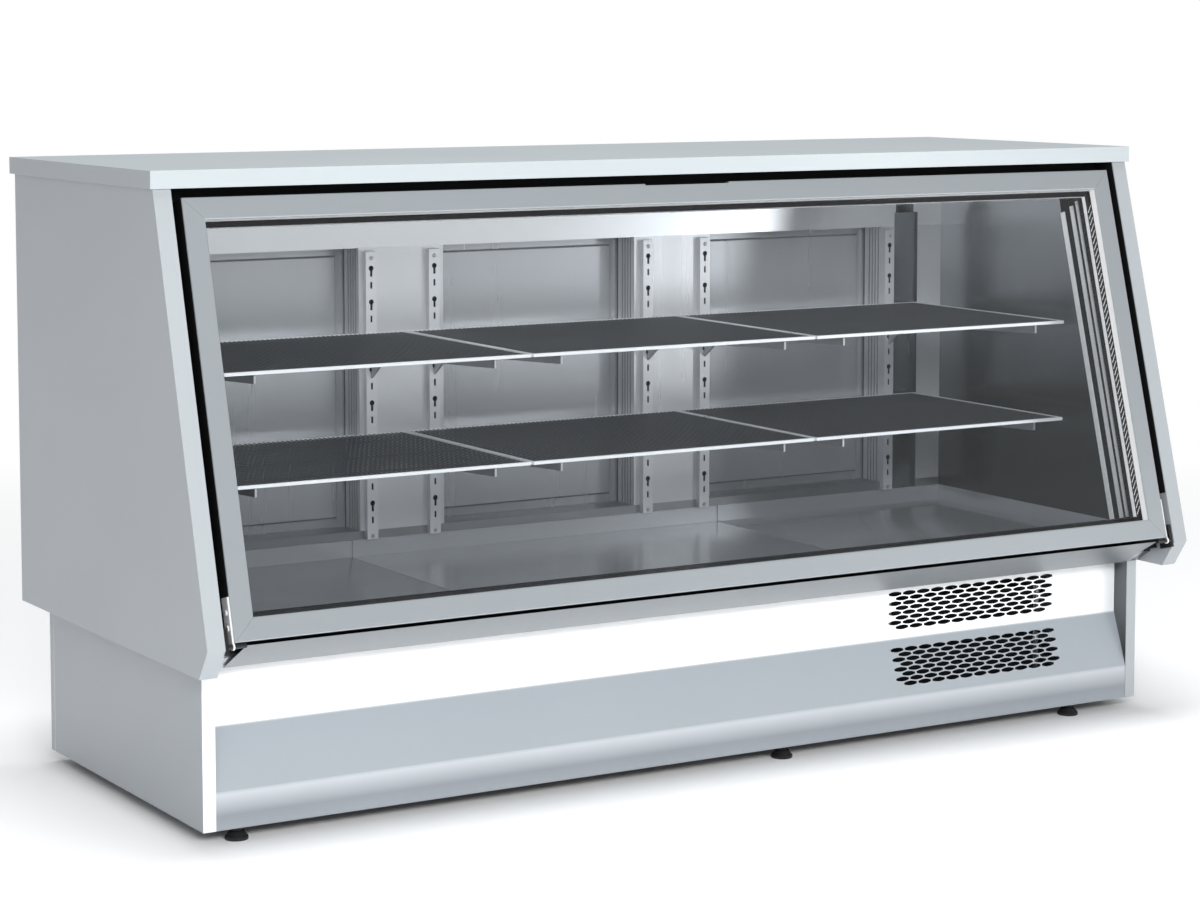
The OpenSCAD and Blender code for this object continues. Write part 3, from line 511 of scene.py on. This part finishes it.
def faces_side(face):
    """1 for a face that looks to the left or the right, 0 for any other."""
    return 1 if abs(face.normal.x) > 0.9 else 0


def reveal_part(face):
    """1 for the ridges in a rear opening's sides, 2 for the grooves between them, 0 elsewhere. The
    grooves take dark steel, painted shade.
    """
    for part, edges in ((1, RIDGE_XS), (2, GROOVE_XS)):
        if faces_side(face) and any(abs(abs(face.center.x) - x) < 0.0003 for x in edges):
            return part
    return 0


def faces_down(face):
    """1 for a face that looks at the floor, 0 for any other."""
    return 1 if face.normal.z < -0.9 else 0


refine("worktop", [TOP, PANEL], 0.0016, 3, pick=faces_side)
# Front faces take the lighter copies, painted light: near white on the left base side, the lighter
# panel paint elsewhere.
for side in ("left", "right"):
    refine("side_panel_" + side, [PANEL, PAINTED_LIGHT_PANEL], 0.0014, 3, pick=faces_front)
    refine("base_side_" + side, [PANEL, PAINTED_LIGHT_WHITE if side == "left" else PAINTED_LIGHT_PANEL], 0.0009,
           pick=faces_front)
    refine("side_liner_" + side, [WALL, PAINTED_HIGHLIGHT_WHITE], 0.0009, 3, pick=on_bead)
refine("front_fascia", FASCIA, 0.0007)
# The vent slots' edges take black: painted shade inside the slots.
paint("front_cover", [PAINTED_LIGHT_KICK, BREAKER], vent_edge)
refine("ceiling_panel", STEEL_X)
refine("floor_panel", STEEL_X, 0.0005)
paint("door_jamb", BREAKER)
paint("rear_header", HEADER)
paint("rear_sill", STEEL_X)
paint("rear_pillars", [POST, UPRIGHT, DUCT], reveal_part)
refine("pipe_cover", DUCT, 0.0004)
for part in ("left", "middle", "right"):
    refine("deck_tray_" + part, DECK, 0.0005)
paint("back_cover", ZINC)
# The chassis's underside is painted black, painted shade that darkens the floor beneath the
# counter.
refine("base_chassis", [ZINC, BLACK_STEEL], pick=faces_down)
paint("shelf_uprights", UPRIGHT)
refine("shelf_brackets", ZINC, 0.0004)
refine("control_box", BLACK, 0.0008)
refine("rocker_switch", SWITCH, 0.0008)
refine("drain_tray", BLACK, 0.0008)
refine("front_hinge_brackets", BLACK_STEEL, 0.0004)
refine("rear_hinge_brackets", ZINC, 0.0004)
refine("door_hinge_leaves", RAIL, 0.0003)
refine("evaporator_cover", COVER, 0.0008)
refine("evaporator_fan_motor", BLACK_STEEL, 0.0006)
refine("condenser_fan_motor", BLACK_STEEL, 0.0006)
for part in ("left", "middle", "right"):
    refine("rear_door_" + part, STEEL_Z, 0.0010)
    refine("rear_door_liner_" + part, LINER, 0.0024, 3)
paint("door_glass_outer", GLASS)
paint("door_glass_inner", GLASS)


def up_to_worktop(x, n, s):
    """As front(), but s runs from the slope's corner to the level worktop over every n."""
    return front(x, n, s + n * math.tan(LEAN) if s > SLOPE / 2 else s)


# The black breaker strip on each side wall, and a black sheet beside the door's edge, painted
# shade for the dark gap there.
for side, sign in (("left", -1), ("right", 1)):
    bm = bmesh.new()
    box(bm, (sign * (WALL_X + 0.0004), 0.0712, 0.030),
        (sign * (WALL_X - 0.0007), 0.1480, SLOPE - 0.030), front)
    make("wall_breaker_" + side, bm, BREAKER, bevel=0.0003)
    bm = bmesh.new()
    box(bm, (sign * (GAP_X - 0.0008), 0.0020, 0.094),
        (sign * (GAP_X + 0.0004), 0.0500, SLOPE - 0.0008), up_to_worktop)
    make("door_gap_painted_shade_" + side, bm, BREAKER, bevel=0.0003)


def screw(bm, place, out, r=0.0042, h=0.0019):
    """Adds a pan head, standing out from a surface, with a slim raised cross for its drive."""
    out = Vector(out).normalized()
    u, v = frame_of(out)
    lathe(bm, [(0.0, h), (r * 0.18, h), (r * 0.62, h * 0.92), (r * 0.90, h * 0.55), (r, 0.0),
               (r, -0.0006), (0.0, -0.0006)], place, out, 20)
    mid = Vector(place) + out * (h * 0.95)
    for a, b in ((u, v), (v, u)):
        corners = [mid + a * (x * r * 0.50) + b * (y * r * 0.09)
                   for x, y in ((-1, -1), (1, -1), (1, 1), (-1, 1))]
        vs = [bm.verts.new(c + out * 0.00025) for c in corners]
        vs += [bm.verts.new(c - out * (h * 0.5)) for c in corners]
        for quad in ((0, 1, 2, 3), (7, 6, 5, 4), (0, 4, 5, 1),
                     (1, 5, 6, 2), (2, 6, 7, 3), (3, 7, 4, 0)):
            bm.faces.new([vs[i] for i in quad])


# Black sheets inside the shelf uprights, painted shade seen through the keyhole slots.
upright_lo, upright_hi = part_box("shelf_uprights")
bm = bmesh.new()
y, z0, z1 = upright_lo.y, upright_lo.z + 0.002, upright_hi.z - 0.002
for x in [-x for x in reversed(UPRIGHT_XS)] + list(UPRIGHT_XS):
    box(bm, (x - 0.0090, y + 0.0080, z0), (x + 0.0090, y + 0.0086, z1))
    for side in (-1, 1):
        box(bm, (x + side * 0.0092, y + 0.0017, z0), (x + side * 0.0088, y + 0.0086, z1))
make("upright_slot_painted_shade", bm, BREAKER, bevel=0.0001)

bm = bmesh.new()
for x in UPRIGHT_XS:
    for sx in (-1, 1):
        for z in (upright_hi.z - 0.012, upright_lo.z + 0.006):
            screw(bm, (sx * x, upright_lo.y + 0.0001, z), (0, -1, 0), 0.0040, 0.0016)
make("upright_screws", bm, STEEL_SCREW, smooth=True)

bm = bmesh.new()
for x in (-0.90, -0.62, -0.34, -0.02, 0.26, 0.68, 0.90):
    for z in (0.040, 0.268):
        screw(bm, (x, depth(BACK_D), z), (0, 1, 0))
make("back_cover_screws", bm, STEEL_SCREW, smooth=True)

bm = bmesh.new()
for sx in (-1, 1):
    for s in (0.034, 0.058):
        screw(bm, (sx * (DOOR_X + 0.0050), *front(0, 0.013, s).yz), (sx, 0, 0), 0.0036, 0.0010)
make("hinge_screws", bm, STEEL_SCREW, body="front_door", smooth=True)


# ---------------------------------------------------------------- front door
def pulled(profile):
    """The frame's profile where the finger pull is sunk in its outer edge."""
    sunk = [(max(i, 0.0032) if n < 0.026 else i, n) for i, n in profile]
    return sunk + [(0.0, 0.0262), (0.0032, 0.0260)]


frame_profile = [
    (0.0, 0.0030), (0.0, 0.0015), (0.0005, 0.0005), (0.0015, 0.0), (0.0345, 0.0),
    (0.0362, 0.0007), (0.0370, 0.0024), (0.0370, 0.0166), (0.0280, 0.0166), (0.0280, 0.0362),
    (0.0370, 0.0362), (0.0370, 0.0400), (0.0355, 0.0420), (0.0200, 0.0420), (0.0200, 0.0395),
    (0.0060, 0.0395), (0.0060, 0.0420), (0.0015, 0.0420), (0.0, 0.0405),
]
# The lip beside the glass is near white, a painted highlight, and the rear and outer faces are
# black, painted shade for the dark gap round the door.
frame_edges = {6: 3, **{i: 2 for i in range(10, 21)}}
MITRE_GAP = 0.0003
PULL_X = 0.086


def head_point(x, inward, n):
    """A point of the frame's head, mitred at its two ends but not beside the finger pull."""
    if abs(x) > PULL_X:
        x -= math.copysign(inward + MITRE_GAP / 2, x)
    return front(x, n, DOOR_S1 - inward)


bm = bmesh.new()
ring(bm, frame_profile, DOOR_X, DOOR_S0, DOOR_S1, front, gap=MITRE_GAP, sides=(0, 1, 3),
     edges=frame_edges)
for x0, x1, profile in (
    (-DOOR_X, -PULL_X, frame_profile),
    (-PULL_X, PULL_X, pulled(frame_profile)),
    (PULL_X, DOOR_X, frame_profile),
):
    loops = [[bm.verts.new(head_point(x, *point)) for point in profile] for x in (x0, x1)]
    for i in range(len(profile)):
        j = (i + 1) % len(profile)
        f = bm.faces.new((loops[0][i], loops[0][j], loops[1][j], loops[1][i]))
        f.material_index = frame_edges.get(i, 0)
    bm.faces.new(loops[0])
    bm.faces.new(list(reversed(loops[1])))
make("door_frame_profiles", bm, [FRAME_X, FRAME_S, BREAKER, PAINTED_HIGHLIGHT_WHITE], body="front_door",
     node="door_frame")

bm = bmesh.new()
bellows = [
    (0.0065, 0.0420), (0.0195, 0.0420), (0.0195, 0.0432), (0.0172, 0.0440), (0.0172, 0.0452),
    (0.0195, 0.0462), (0.0196, 0.0494), (0.0185, 0.0500), (0.0075, 0.0500), (0.0062, 0.0494),
    (0.0064, 0.0462), (0.0088, 0.0452), (0.0088, 0.0440), (0.0065, 0.0432),
]
ring(bm, bellows, DOOR_X, DOOR_S0, DOOR_S1, front)
make("door_gasket_bellows", bm, [RUBBER, RUBBER], body="front_door", node="door_gasket")

# The spacer bar between the panes, its inner edge near white as a painted highlight, and slanted
# slats up its sides.
bm = bmesh.new()
spacer_profile = [(0.0290, 0.0210), (0.0450, 0.0210), (0.0460, 0.0220), (0.0460, 0.0310),
                  (0.0450, 0.0320), (0.0290, 0.0320)]
ring(bm, spacer_profile, DOOR_X, DOOR_S0, DOOR_S1, front, edges={2: 2, 3: 2})
make("glass_spacer_bar", bm, [SPACER, SPACER, PAINTED_HIGHLIGHT_WHITE], body="front_door", node="glass_spacer")
SLAT_N = 0.02085
bm = bmesh.new()
for side in (-1, 1):
    mid = side * (DOOR_X - 0.0400)
    s = DOOR_S0 + 0.050
    while s < DOOR_S1 - 0.066:
        tube(bm, [front(mid - 0.0048, SLAT_N, s), front(mid + 0.0048, SLAT_N, s + 0.0150)],
             0.0008, sides=4)
        s += 0.0120
make("glass_spacer_ribs", bm, HATCH, body="front_door")


# ---------------------------------------------------------------- shelves
def shelf(name):
    """A wire mesh shelf: a flat rail all round, and a mesh with three thicker cross rods."""
    lo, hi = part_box(name)
    top, under, rail = hi.z, hi.z - 0.0062, 0.004
    bm = bmesh.new()
    box(bm, (lo.x, lo.y, under), (hi.x, lo.y + rail, top))
    box(bm, (lo.x, hi.y - rail, under), (hi.x, hi.y, top))
    box(bm, (lo.x, lo.y + rail, under), (lo.x + rail, hi.y - rail, top))
    box(bm, (hi.x - rail, lo.y + rail, under), (hi.x, hi.y - rail, top))
    make(name + "_rail", bm, RAIL, node=name, bevel=0.0008)
    bm = bmesh.new()
    r, pitch, into_rail = 0.00115, 0.0092, 0.001
    level = top - 0.0016
    count = int((hi.x - lo.x - 2 * rail - 0.004) / pitch)
    start = (lo.x + hi.x) / 2 - count * pitch / 2
    for i in range(count + 1):
        x = start + i * pitch
        tube(bm, [(x, lo.y + into_rail, level), (x, hi.y - into_rail, level)], r, sides=6)
    rows = 26
    for j in range(rows):
        y = lo.y + rail + (j + 0.5) * (hi.y - lo.y - 2 * rail) / rows
        thick = 0.0024 if j in (3, 12, 22) else 0.0010
        z = level - r - thick
        tube(bm, [(lo.x + into_rail, y, z), (hi.x - into_rail, y, z)], thick, sides=6)
    make(name + "_wires", bm, WIRE, smooth=True, angle=70)


for tier in ("upper", "lower"):
    for part in ("left", "middle", "right"):
        shelf("%s_shelf_%s" % (tier, part))


# ---------------------------------------------------------------- rear doors
def rear_ring(bay):
    """Maps a point beside a rear door: n runs inward from the liner and s is the height."""
    return lambda x, n, s: Vector((bay * BAY_PITCH + x, depth(0.052 + n), s))


rear_bellows = [
    (0.0, 0.0), (0.0120, 0.0), (0.0120, 0.0010), (0.0104, 0.0016), (0.0104, 0.0024),
    (0.0120, 0.0032), (0.0120, 0.0052), (0.0112, 0.0057), (0.0008, 0.0057), (0.0, 0.0052),
    (0.0, 0.0032), (0.0016, 0.0024), (0.0016, 0.0016), (0.0, 0.0010),
]
for bay, part in ((-1, "left"), (0, "middle"), (1, "right")):
    bm = bmesh.new()
    ring(bm, rear_bellows, 0.221, 0.357, 0.903, rear_ring(bay))
    make("rear_gasket_bellows_" + part, bm, [GREY_RUBBER, GREY_RUBBER], body="rear_door_" + part,
         node="rear_door_gasket_" + part)


# ---------------------------------------------------------------- machinery
FIN_T = 0.0003


def fins(bm, lo, hi, count):
    """Adds thin plates square to X between two corners."""
    for i in range(count):
        x = lo[0] + (i + 0.5) * (hi[0] - lo[0]) / count
        box(bm, (x - FIN_T / 2, lo[1], lo[2]), (x + FIN_T / 2, hi[1], hi[2]))


def bend(bm, x, y, z0, z1, out, r):
    """Adds a return bend between two tube ends on one face of a coil."""
    mid, half = (z0 + z1) / 2, (z1 - z0) / 2
    arc = [(x + out * half * math.sin(t), y, mid - half * math.cos(t))
           for t in (math.pi * k / 8 for k in range(9))]
    tube(bm, [(x - out * 0.004, y, z0)] + arc + [(x - out * 0.004, y, z1)], r)


def coil(name, lo, hi, fin_mat, tube_mat, fin_count, border, tubes_y, tubes_z, tube_r):
    """A finned block: thin fins, end plates with folded lips, tubes and return bends."""
    bm = bmesh.new()
    fins(bm, lo, hi, fin_count)
    make(name + "_fins", bm, fin_mat, node=name + "_coil")
    bm = bmesh.new()
    lip_t = 0.0015
    for x, out in ((lo[0], -1), (hi[0], 1)):
        (plate0, plate1), (lip0, lip1) = (sorted((x, x + out * wide)) for wide in (0.002, 0.009))
        box(bm, (plate0, lo[1] - border, lo[2] - border), (plate1, hi[1] + border, hi[2]))
        for y in (lo[1] - border, hi[1] + border - lip_t):
            box(bm, (lip0, y, lo[2] - border), (lip1, y + lip_t, hi[2]))
    make(name + "_end_plates", bm, ZINC, bevel=0.0003)
    bm = bmesh.new()
    x0, x1 = lo[0] - 0.003, hi[0] + 0.003
    for y in tubes_y:
        for z in tubes_z:
            tube(bm, [(x0, y, z), (x1, y, z)], tube_r, sides=8)
        for k, (z0, z1) in enumerate(zip(tubes_z, tubes_z[1:])):
            bend(bm, x0 if k % 2 else x1, y, z0, z1, -1 if k % 2 else 1, tube_r)
    make(name + "_tubes", bm, tube_mat, smooth=True)


coil("condenser", (0.427, depth(0.652), 0.040), (0.763, depth(0.608), 0.246),
     BLACK_FIN, BLACK_STEEL, 112, 0.003, (depth(0.641), depth(0.619)),
     [0.055 + 0.022 * k for k in range(9)], 0.0040)
coil("evaporator", (0.380, depth(0.393), 0.970), (0.720, depth(0.187), 1.012),
     FIN, COPPER, 84, 0.002, [depth(0.20 + 0.030 * k) for k in range(7)],
     [0.980, 1.002], 0.0045)


BLADES = 5


def fan(name, centre, axis, r, hub_r, hub_h, twist, chord):
    """A moulded fan: a domed hub with a rim, and cambered blades.

    twist is a blade's pitch in degrees, and chord its width, at the hub and at the tip.
    """
    w = Vector(axis)
    u, v = frame_of(w)
    centre = Vector(centre)
    bm = bmesh.new()
    shoulder = hub_h - 0.003
    lathe(bm, [(0.0035, shoulder), (hub_r - 0.0025, shoulder), (hub_r - 0.0025, 0.002),
               (hub_r, 0.0), (hub_r, shoulder), (hub_r - 0.002, hub_h - 0.0006),
               (hub_r * 0.7, hub_h), (0.0, hub_h)], centre, w, 48)
    lathe(bm, [(0.0032, 0.001), (0.0075, 0.001), (0.0075, shoulder), (0.0032, shoulder)],
          centre, w, 24)
    steps, across, thick = 10, 6, 0.0007
    for i in range(BLADES):
        turn = 2 * math.pi * i / BLADES
        grid = []
        for a in range(steps + 1):
            t = a / steps
            rad = hub_r - 0.001 + (r * 0.96 - hub_r) * t
            wide = chord[0] + (chord[1] - chord[0]) * t ** 0.8
            pitch = math.radians(twist[0] + (twist[1] - twist[0]) * t)
            row = []
            for b in range(across + 1):
                q = b / across - 0.5
                sweep = turn + (wide * q * math.cos(pitch) + 0.10 * r * t * t) / rad
                camber = (0.25 - q * q) * wide * 0.22
                lift = hub_h / 2 + wide * q * math.sin(pitch) + camber
                row.append(centre + (u * math.cos(sweep) + v * math.sin(sweep)) * rad + w * lift)
            grid.append(row)
        top = [[bm.verts.new(p + w * thick) for p in row] for row in grid]
        low = [[bm.verts.new(p - w * thick) for p in row] for row in grid]
        for a in range(steps):
            for b in range(across):
                bm.faces.new((top[a][b], top[a + 1][b], top[a + 1][b + 1], top[a][b + 1]))
                bm.faces.new((low[a][b], low[a][b + 1], low[a + 1][b + 1], low[a + 1][b]))
        rim = [(0, b) for b in range(across + 1)]
        rim += [(a, across) for a in range(1, steps + 1)]
        rim += [(steps, b) for b in range(across - 1, -1, -1)]
        rim += [(a, 0) for a in range(steps - 1, 0, -1)]
        for (a, b), (c, d) in zip(rim, rim[1:] + rim[:1]):
            bm.faces.new((top[a][b], top[c][d], low[c][d], low[a][b]))
    make(name + "_moulding", bm, FAN, body=name, node=name + "_blades", smooth=True, angle=40)


COND_FAN_X, COND_FAN_Z = 0.595, 0.152
EVAP_FAN_X, EVAP_FAN_Y = 0.280, depth(0.290)
fan("condenser_fan", (COND_FAN_X, depth(0.576), COND_FAN_Z), (0, -1, 0),
    0.092, 0.024, 0.020, (36, 20), (0.030, 0.058))
fan("evaporator_fan", (EVAP_FAN_X, EVAP_FAN_Y, 0.988), (0, 0, -1),
    0.060, 0.016, 0.018, (34, 18), (0.019, 0.036))


def guard(name, centre, axis, radii, spokes, wire):
    """A wire fan guard: rings on radial spokes."""
    w = Vector(axis)
    u, v = frame_of(w)
    centre = Vector(centre)
    bm = bmesh.new()
    steps = 40
    for r in radii:
        points = [centre + (u * math.cos(t) + v * math.sin(t)) * r
                  for t in (2 * math.pi * k / steps for k in range(steps + 1))]
        tube(bm, points, wire, sides=6, caps=False)
    for k in range(spokes):
        t = 2 * math.pi * k / spokes
        way = u * math.cos(t) + v * math.sin(t)
        lift = w * wire * 1.6
        tube(bm, [centre + way * radii[0] + lift, centre + way * (radii[-1] + wire) + lift],
             wire, sides=6)
    make(name, bm, STEEL_SCREW, smooth=True)


guard("evaporator_fan_guard", (EVAP_FAN_X, EVAP_FAN_Y, 0.9606), (0, 0, 1),
      [0.012 + 0.009 * k for k in range(7)], 4, 0.0008)
guard("condenser_fan_guard", (COND_FAN_X, depth(0.5585), COND_FAN_Z), (0, 1, 0),
      [0.038 + 0.010 * k for k in range(7)], 3, 0.0009)

COMP = Vector((0.330, depth(0.330), 0.027))


def by_comp(x, y, z):
    """A point beside the compressor, from the middle of its foot."""
    return COMP + Vector((x, y, z))


bm = bmesh.new()
lathe(bm, [(0.0, 0.018), (0.040, 0.018), (0.070, 0.022), (0.080, 0.032), (0.084, 0.045),
           (0.084, 0.084), (0.0878, 0.0850), (0.0880, 0.0920), (0.0840, 0.0930), (0.0840, 0.150),
           (0.0825, 0.172), (0.0770, 0.190), (0.0650, 0.203), (0.0460, 0.209), (0.0200, 0.2118),
           (0.0, 0.212)], COMP, UP, 64)
make("compressor_shell", bm, BLACK_STEEL, node="compressor", smooth=True, angle=40)
bm = bmesh.new()
for sx in (-1, 1):
    box(bm, by_comp(sx * 0.090 - 0.022, -0.100, 0.004), by_comp(sx * 0.090 + 0.022, 0.100, 0.008))
box(bm, by_comp(-0.112, -0.040, 0.008), by_comp(0.112, 0.040, 0.0196))
make("compressor_base", bm, BLACK_STEEL, bevel=0.0010)
bm = bmesh.new()
for sx in (-1, 1):
    for sy in (-1, 1):
        lathe(bm, [(0.0, 0.0), (0.009, 0.0), (0.009, 0.003), (0.0065, 0.0042), (0.0065, 0.0076),
                   (0.009, 0.0086), (0.009, 0.0140), (0.0075, 0.016), (0.0, 0.016)],
              by_comp(sx * 0.090, sy * 0.084, 0.0), UP, 24)
make("compressor_grommets", bm, RUBBER, smooth=True)
bm = bmesh.new()
box(bm, by_comp(0.072, -0.034, 0.050), by_comp(0.114, 0.034, 0.122))
box(bm, by_comp(0.1140, -0.030, 0.054), by_comp(0.1178, 0.030, 0.118))
make("compressor_terminal_box", bm, BLACK, bevel=0.0022, segments=3)
bm = bmesh.new()
tube(bm, rounded([by_comp(-0.060, 0.050, 0.180), by_comp(-0.086, 0.070, 0.196),
                  by_comp(-0.086, 0.070, 0.216), by_comp(0.060, 0.090, 0.216),
                  by_comp(0.128, 0.026, 0.223)], 0.02), 0.0036)
make("compressor_suction_stub", bm, COPPER, smooth=True)

# The lines to the evaporator, the outer two in foam sleeves where they rise in the duct.
PIPE_X, PIPE_Y, PIPE_PITCH = WALL_X - 0.092, depth(0.106), 0.014
LOW_Z, HIGH_Z = 0.250, 0.986
for k, name, r, mat, node in (
    (-1, "liquid_line", 0.0050, COPPER, "refrigerant_lines"),
    (0, "hot_gas_line", 0.0035, COPPER, None),
    (1, "drain_line", 0.0050, GREY_RUBBER, None),
):
    x = PIPE_X + k * PIPE_PITCH
    y0, y2 = depth(0.226 + k * PIPE_PITCH), depth(0.204 + k * PIPE_PITCH)
    bm = bmesh.new()
    tube(bm, rounded([(COMP.x + 0.130, y0, LOW_Z), (x, y0, LOW_Z), (x, PIPE_Y, LOW_Z),
                      (x, PIPE_Y, HIGH_Z), (x, y2, HIGH_Z), (0.728, y2, HIGH_Z)], 0.022),
         r, sides=12)
    make(name, bm, mat, node=node, smooth=True)
bm = bmesh.new()
for k in (-1, 0):
    rises = [(PIPE_X + k * PIPE_PITCH, PIPE_Y, 0.275 + 0.0175 * j) for j in range(40)]
    tube(bm, rises, [0.0066 if j % 2 else 0.0064 for j in range(40)], sides=14)
make("line_foam_sleeve", bm, FOAM, smooth=True)

# The levelling feet: a pad, a hexagon nut and a threaded stud.
pad = [(0.0, 0.0), (0.0182, 0.0), (0.0190, 0.0008), (0.0190, 0.0050), (0.0180, 0.0062),
       (0.0170, 0.0066), (0.0125, 0.0136), (0.0112, 0.0142), (0.0, 0.0142)]
nut = [(0.0, 0.0140), (0.0088, 0.0140), (0.0100, 0.0150), (0.0100, 0.0240), (0.0088, 0.0250),
       (0.0, 0.0250)]
stud = [(0.0, 0.0250)]
for j in range(12):
    stud += [(0.0044, 0.0250 + j * 0.0015), (0.0050, 0.0257 + j * 0.0015)]
stud += [(0.0044, 0.0435), (0.0, 0.0440)]
bm = bmesh.new()
for x in (-0.894, 0.160, 0.814):
    for d in (0.090, 0.693):
        for profile, sides in ((pad, 40), (nut, 6), (stud, 20)):
            lathe(bm, profile, (x, depth(d), 0.0), UP, sides)
make("levelling_feet_turned", bm, BLACK, node="levelling_feet", smooth=True, angle=35)

# The cord gland: a throat, a hexagon body, a ribbed dome nut and a lock nut.
GLAND = Vector((-0.230, depth(BACK_D), 0.100))
REARWARD = Vector((0, 1, 0))
bm = bmesh.new()
for profile, sides in (
    ([(0.0045, -0.012), (0.0080, -0.012), (0.0080, 0.0), (0.0045, 0.0)], 32),
    ([(0.0050, 0.0), (0.0125, 0.0), (0.0130, 0.0008), (0.0130, 0.0062), (0.0122, 0.0070),
      (0.0050, 0.0070)], 6),
    ([(0.0050, 0.0070), (0.0108, 0.0070), (0.0110, 0.0078), (0.0110, 0.0130), (0.0100, 0.0160),
      (0.0078, 0.0190), (0.0060, 0.0200), (0.0046, 0.0200), (0.0045, 0.0070)], 32),
    ([(0.0080, -0.0090), (0.0120, -0.0090), (0.0120, -0.0023), (0.0080, -0.0023)], 6),
):
    lathe(bm, profile, GLAND, REARWARD, sides)
RIBS = 16
for j in range(RIBS):
    t = 2 * math.pi * j / RIBS
    foot = GLAND + Vector((math.cos(t), 0, math.sin(t))) * 0.0109
    tube(bm, [foot + REARWARD * 0.0076, foot + REARWARD * 0.0126], 0.0006, sides=6)
make("cord_gland_detailed", bm, BLACK, node="cord_gland", smooth=True)

bm = bmesh.new()
back_y = depth(BACK_D)
box(bm, (-0.1535, back_y + 0.0030, 0.1405), (-0.0845, back_y + 0.0036, 0.1995))
make("display_window_lens", bm, LENS, bevel=0.0002)


# ---------------------------------------------------------------- studio
def point_at(obj, place, direction):
    """Puts a lamp or the camera in its place, facing along a direction, into the scene."""
    obj.location = place
    obj.rotation_mode = "QUATERNION"
    obj.rotation_quaternion = direction.to_track_quat("-Z", "Y")
    scene.collection.objects.link(obj)


def lay_floor():
    """A plain pale floor that brightens to the backdrop's white away from the counter."""
    n = Nodes("studio_floor")
    cloud = n.noise(n.coord, 0.8, 3.0)
    base = n.mix(cloud, (0.93, 0.935, 0.94), (0.96, 0.965, 0.97))
    near = n.add("ShaderNodeBsdfPrincipled", Base_Color=base, Roughness=0.8,
                 Emission_Color=(1.0, 1.0, 1.0), Emission_Strength=0.01)
    glow = n.add("ShaderNodeEmission", Color=(1.0, 1.0, 1.0), Strength=1.0)
    away = n.add("ShaderNodeVectorMath", Vector=n.coord)
    away.operation = "LENGTH"
    n.mix_shaders(n.remap(away.outputs["Value"], 1.6, 4.0, 0.0, 1.0), near, glow)
    bm = bmesh.new()
    bmesh.ops.create_circle(bm, cap_ends=True, segments=96, radius=60.0)
    mesh = bpy.data.meshes.new("floor")
    bm.to_mesh(mesh)
    bm.free()
    mesh.materials.append(n.mat)
    floor = bpy.data.objects.new("floor", mesh)
    scene.collection.objects.link(floor)


def hang_backdrop():
    """A white surround, bright to look at and dimmer as a light."""
    world = bpy.data.worlds.new("studio")
    world.use_nodes = True
    tree = world.node_tree
    back = tree.nodes["Background"]
    back.inputs["Color"].default_value = (0.96, 0.98, 1.0, 1)
    path = tree.nodes.new("ShaderNodeLightPath")
    level = tree.nodes.new("ShaderNodeMapRange")
    level.inputs["To Min"].default_value = 0.38
    level.inputs["To Max"].default_value = 1.05
    tree.links.new(path.outputs["Is Camera Ray"], level.inputs["Value"])
    tree.links.new(level.outputs["Result"], back.inputs["Strength"])
    scene.world = world


def area(name, place, aim, wide, tall, power, mirrored=False):
    """A soft lamp of wide by tall metres. Only a mirrored one shows in glossy surfaces."""
    data = bpy.data.lights.new(name, "AREA")
    data.shape = "RECTANGLE"
    data.size = wide
    data.size_y = tall
    data.energy = power
    lamp = bpy.data.objects.new(name, data)
    lamp.visible_glossy = mirrored
    lamp.visible_camera = False
    point_at(lamp, place, Vector(aim) - Vector(place))


lay_floor()
hang_backdrop()
area("key", (-1.8, -4.7, 2.4), (0.0, 0, 0.4), 3.0, 1.2, 225)
area("top", (0.0, -0.1, 9.0), (0, 0, 0.5), 4.0, 4.0, 540)
area("side_strip", (3.8, -4.6, 0.72), (0.45, 0.29, 0.95), 0.5, 1.3, 13, mirrored=True)
area("inside_glow", (0.0, -0.150, 0.985), (0.0, 0.30, 0.80), 1.7, 0.05, 2.0)
scene.view_settings.view_transform = "Standard"

# ---------------------------------------------------------------- camera
cam_data = bpy.data.cameras.new("camera")
cam_data.sensor_width = 36.0
cam_data.lens = 90.352
cam_data.shift_y = -0.12
cam_data.clip_end = 200.0
cam = bpy.data.objects.new("camera", cam_data)
yaw, pitch = math.radians(31.147), math.radians(5.151)
look = Vector((math.sin(yaw) * math.cos(pitch), math.cos(yaw) * math.cos(pitch), -math.sin(pitch)))
point_at(cam, (-2.8328, -4.6140, 1.2772), look)
scene.camera = cam
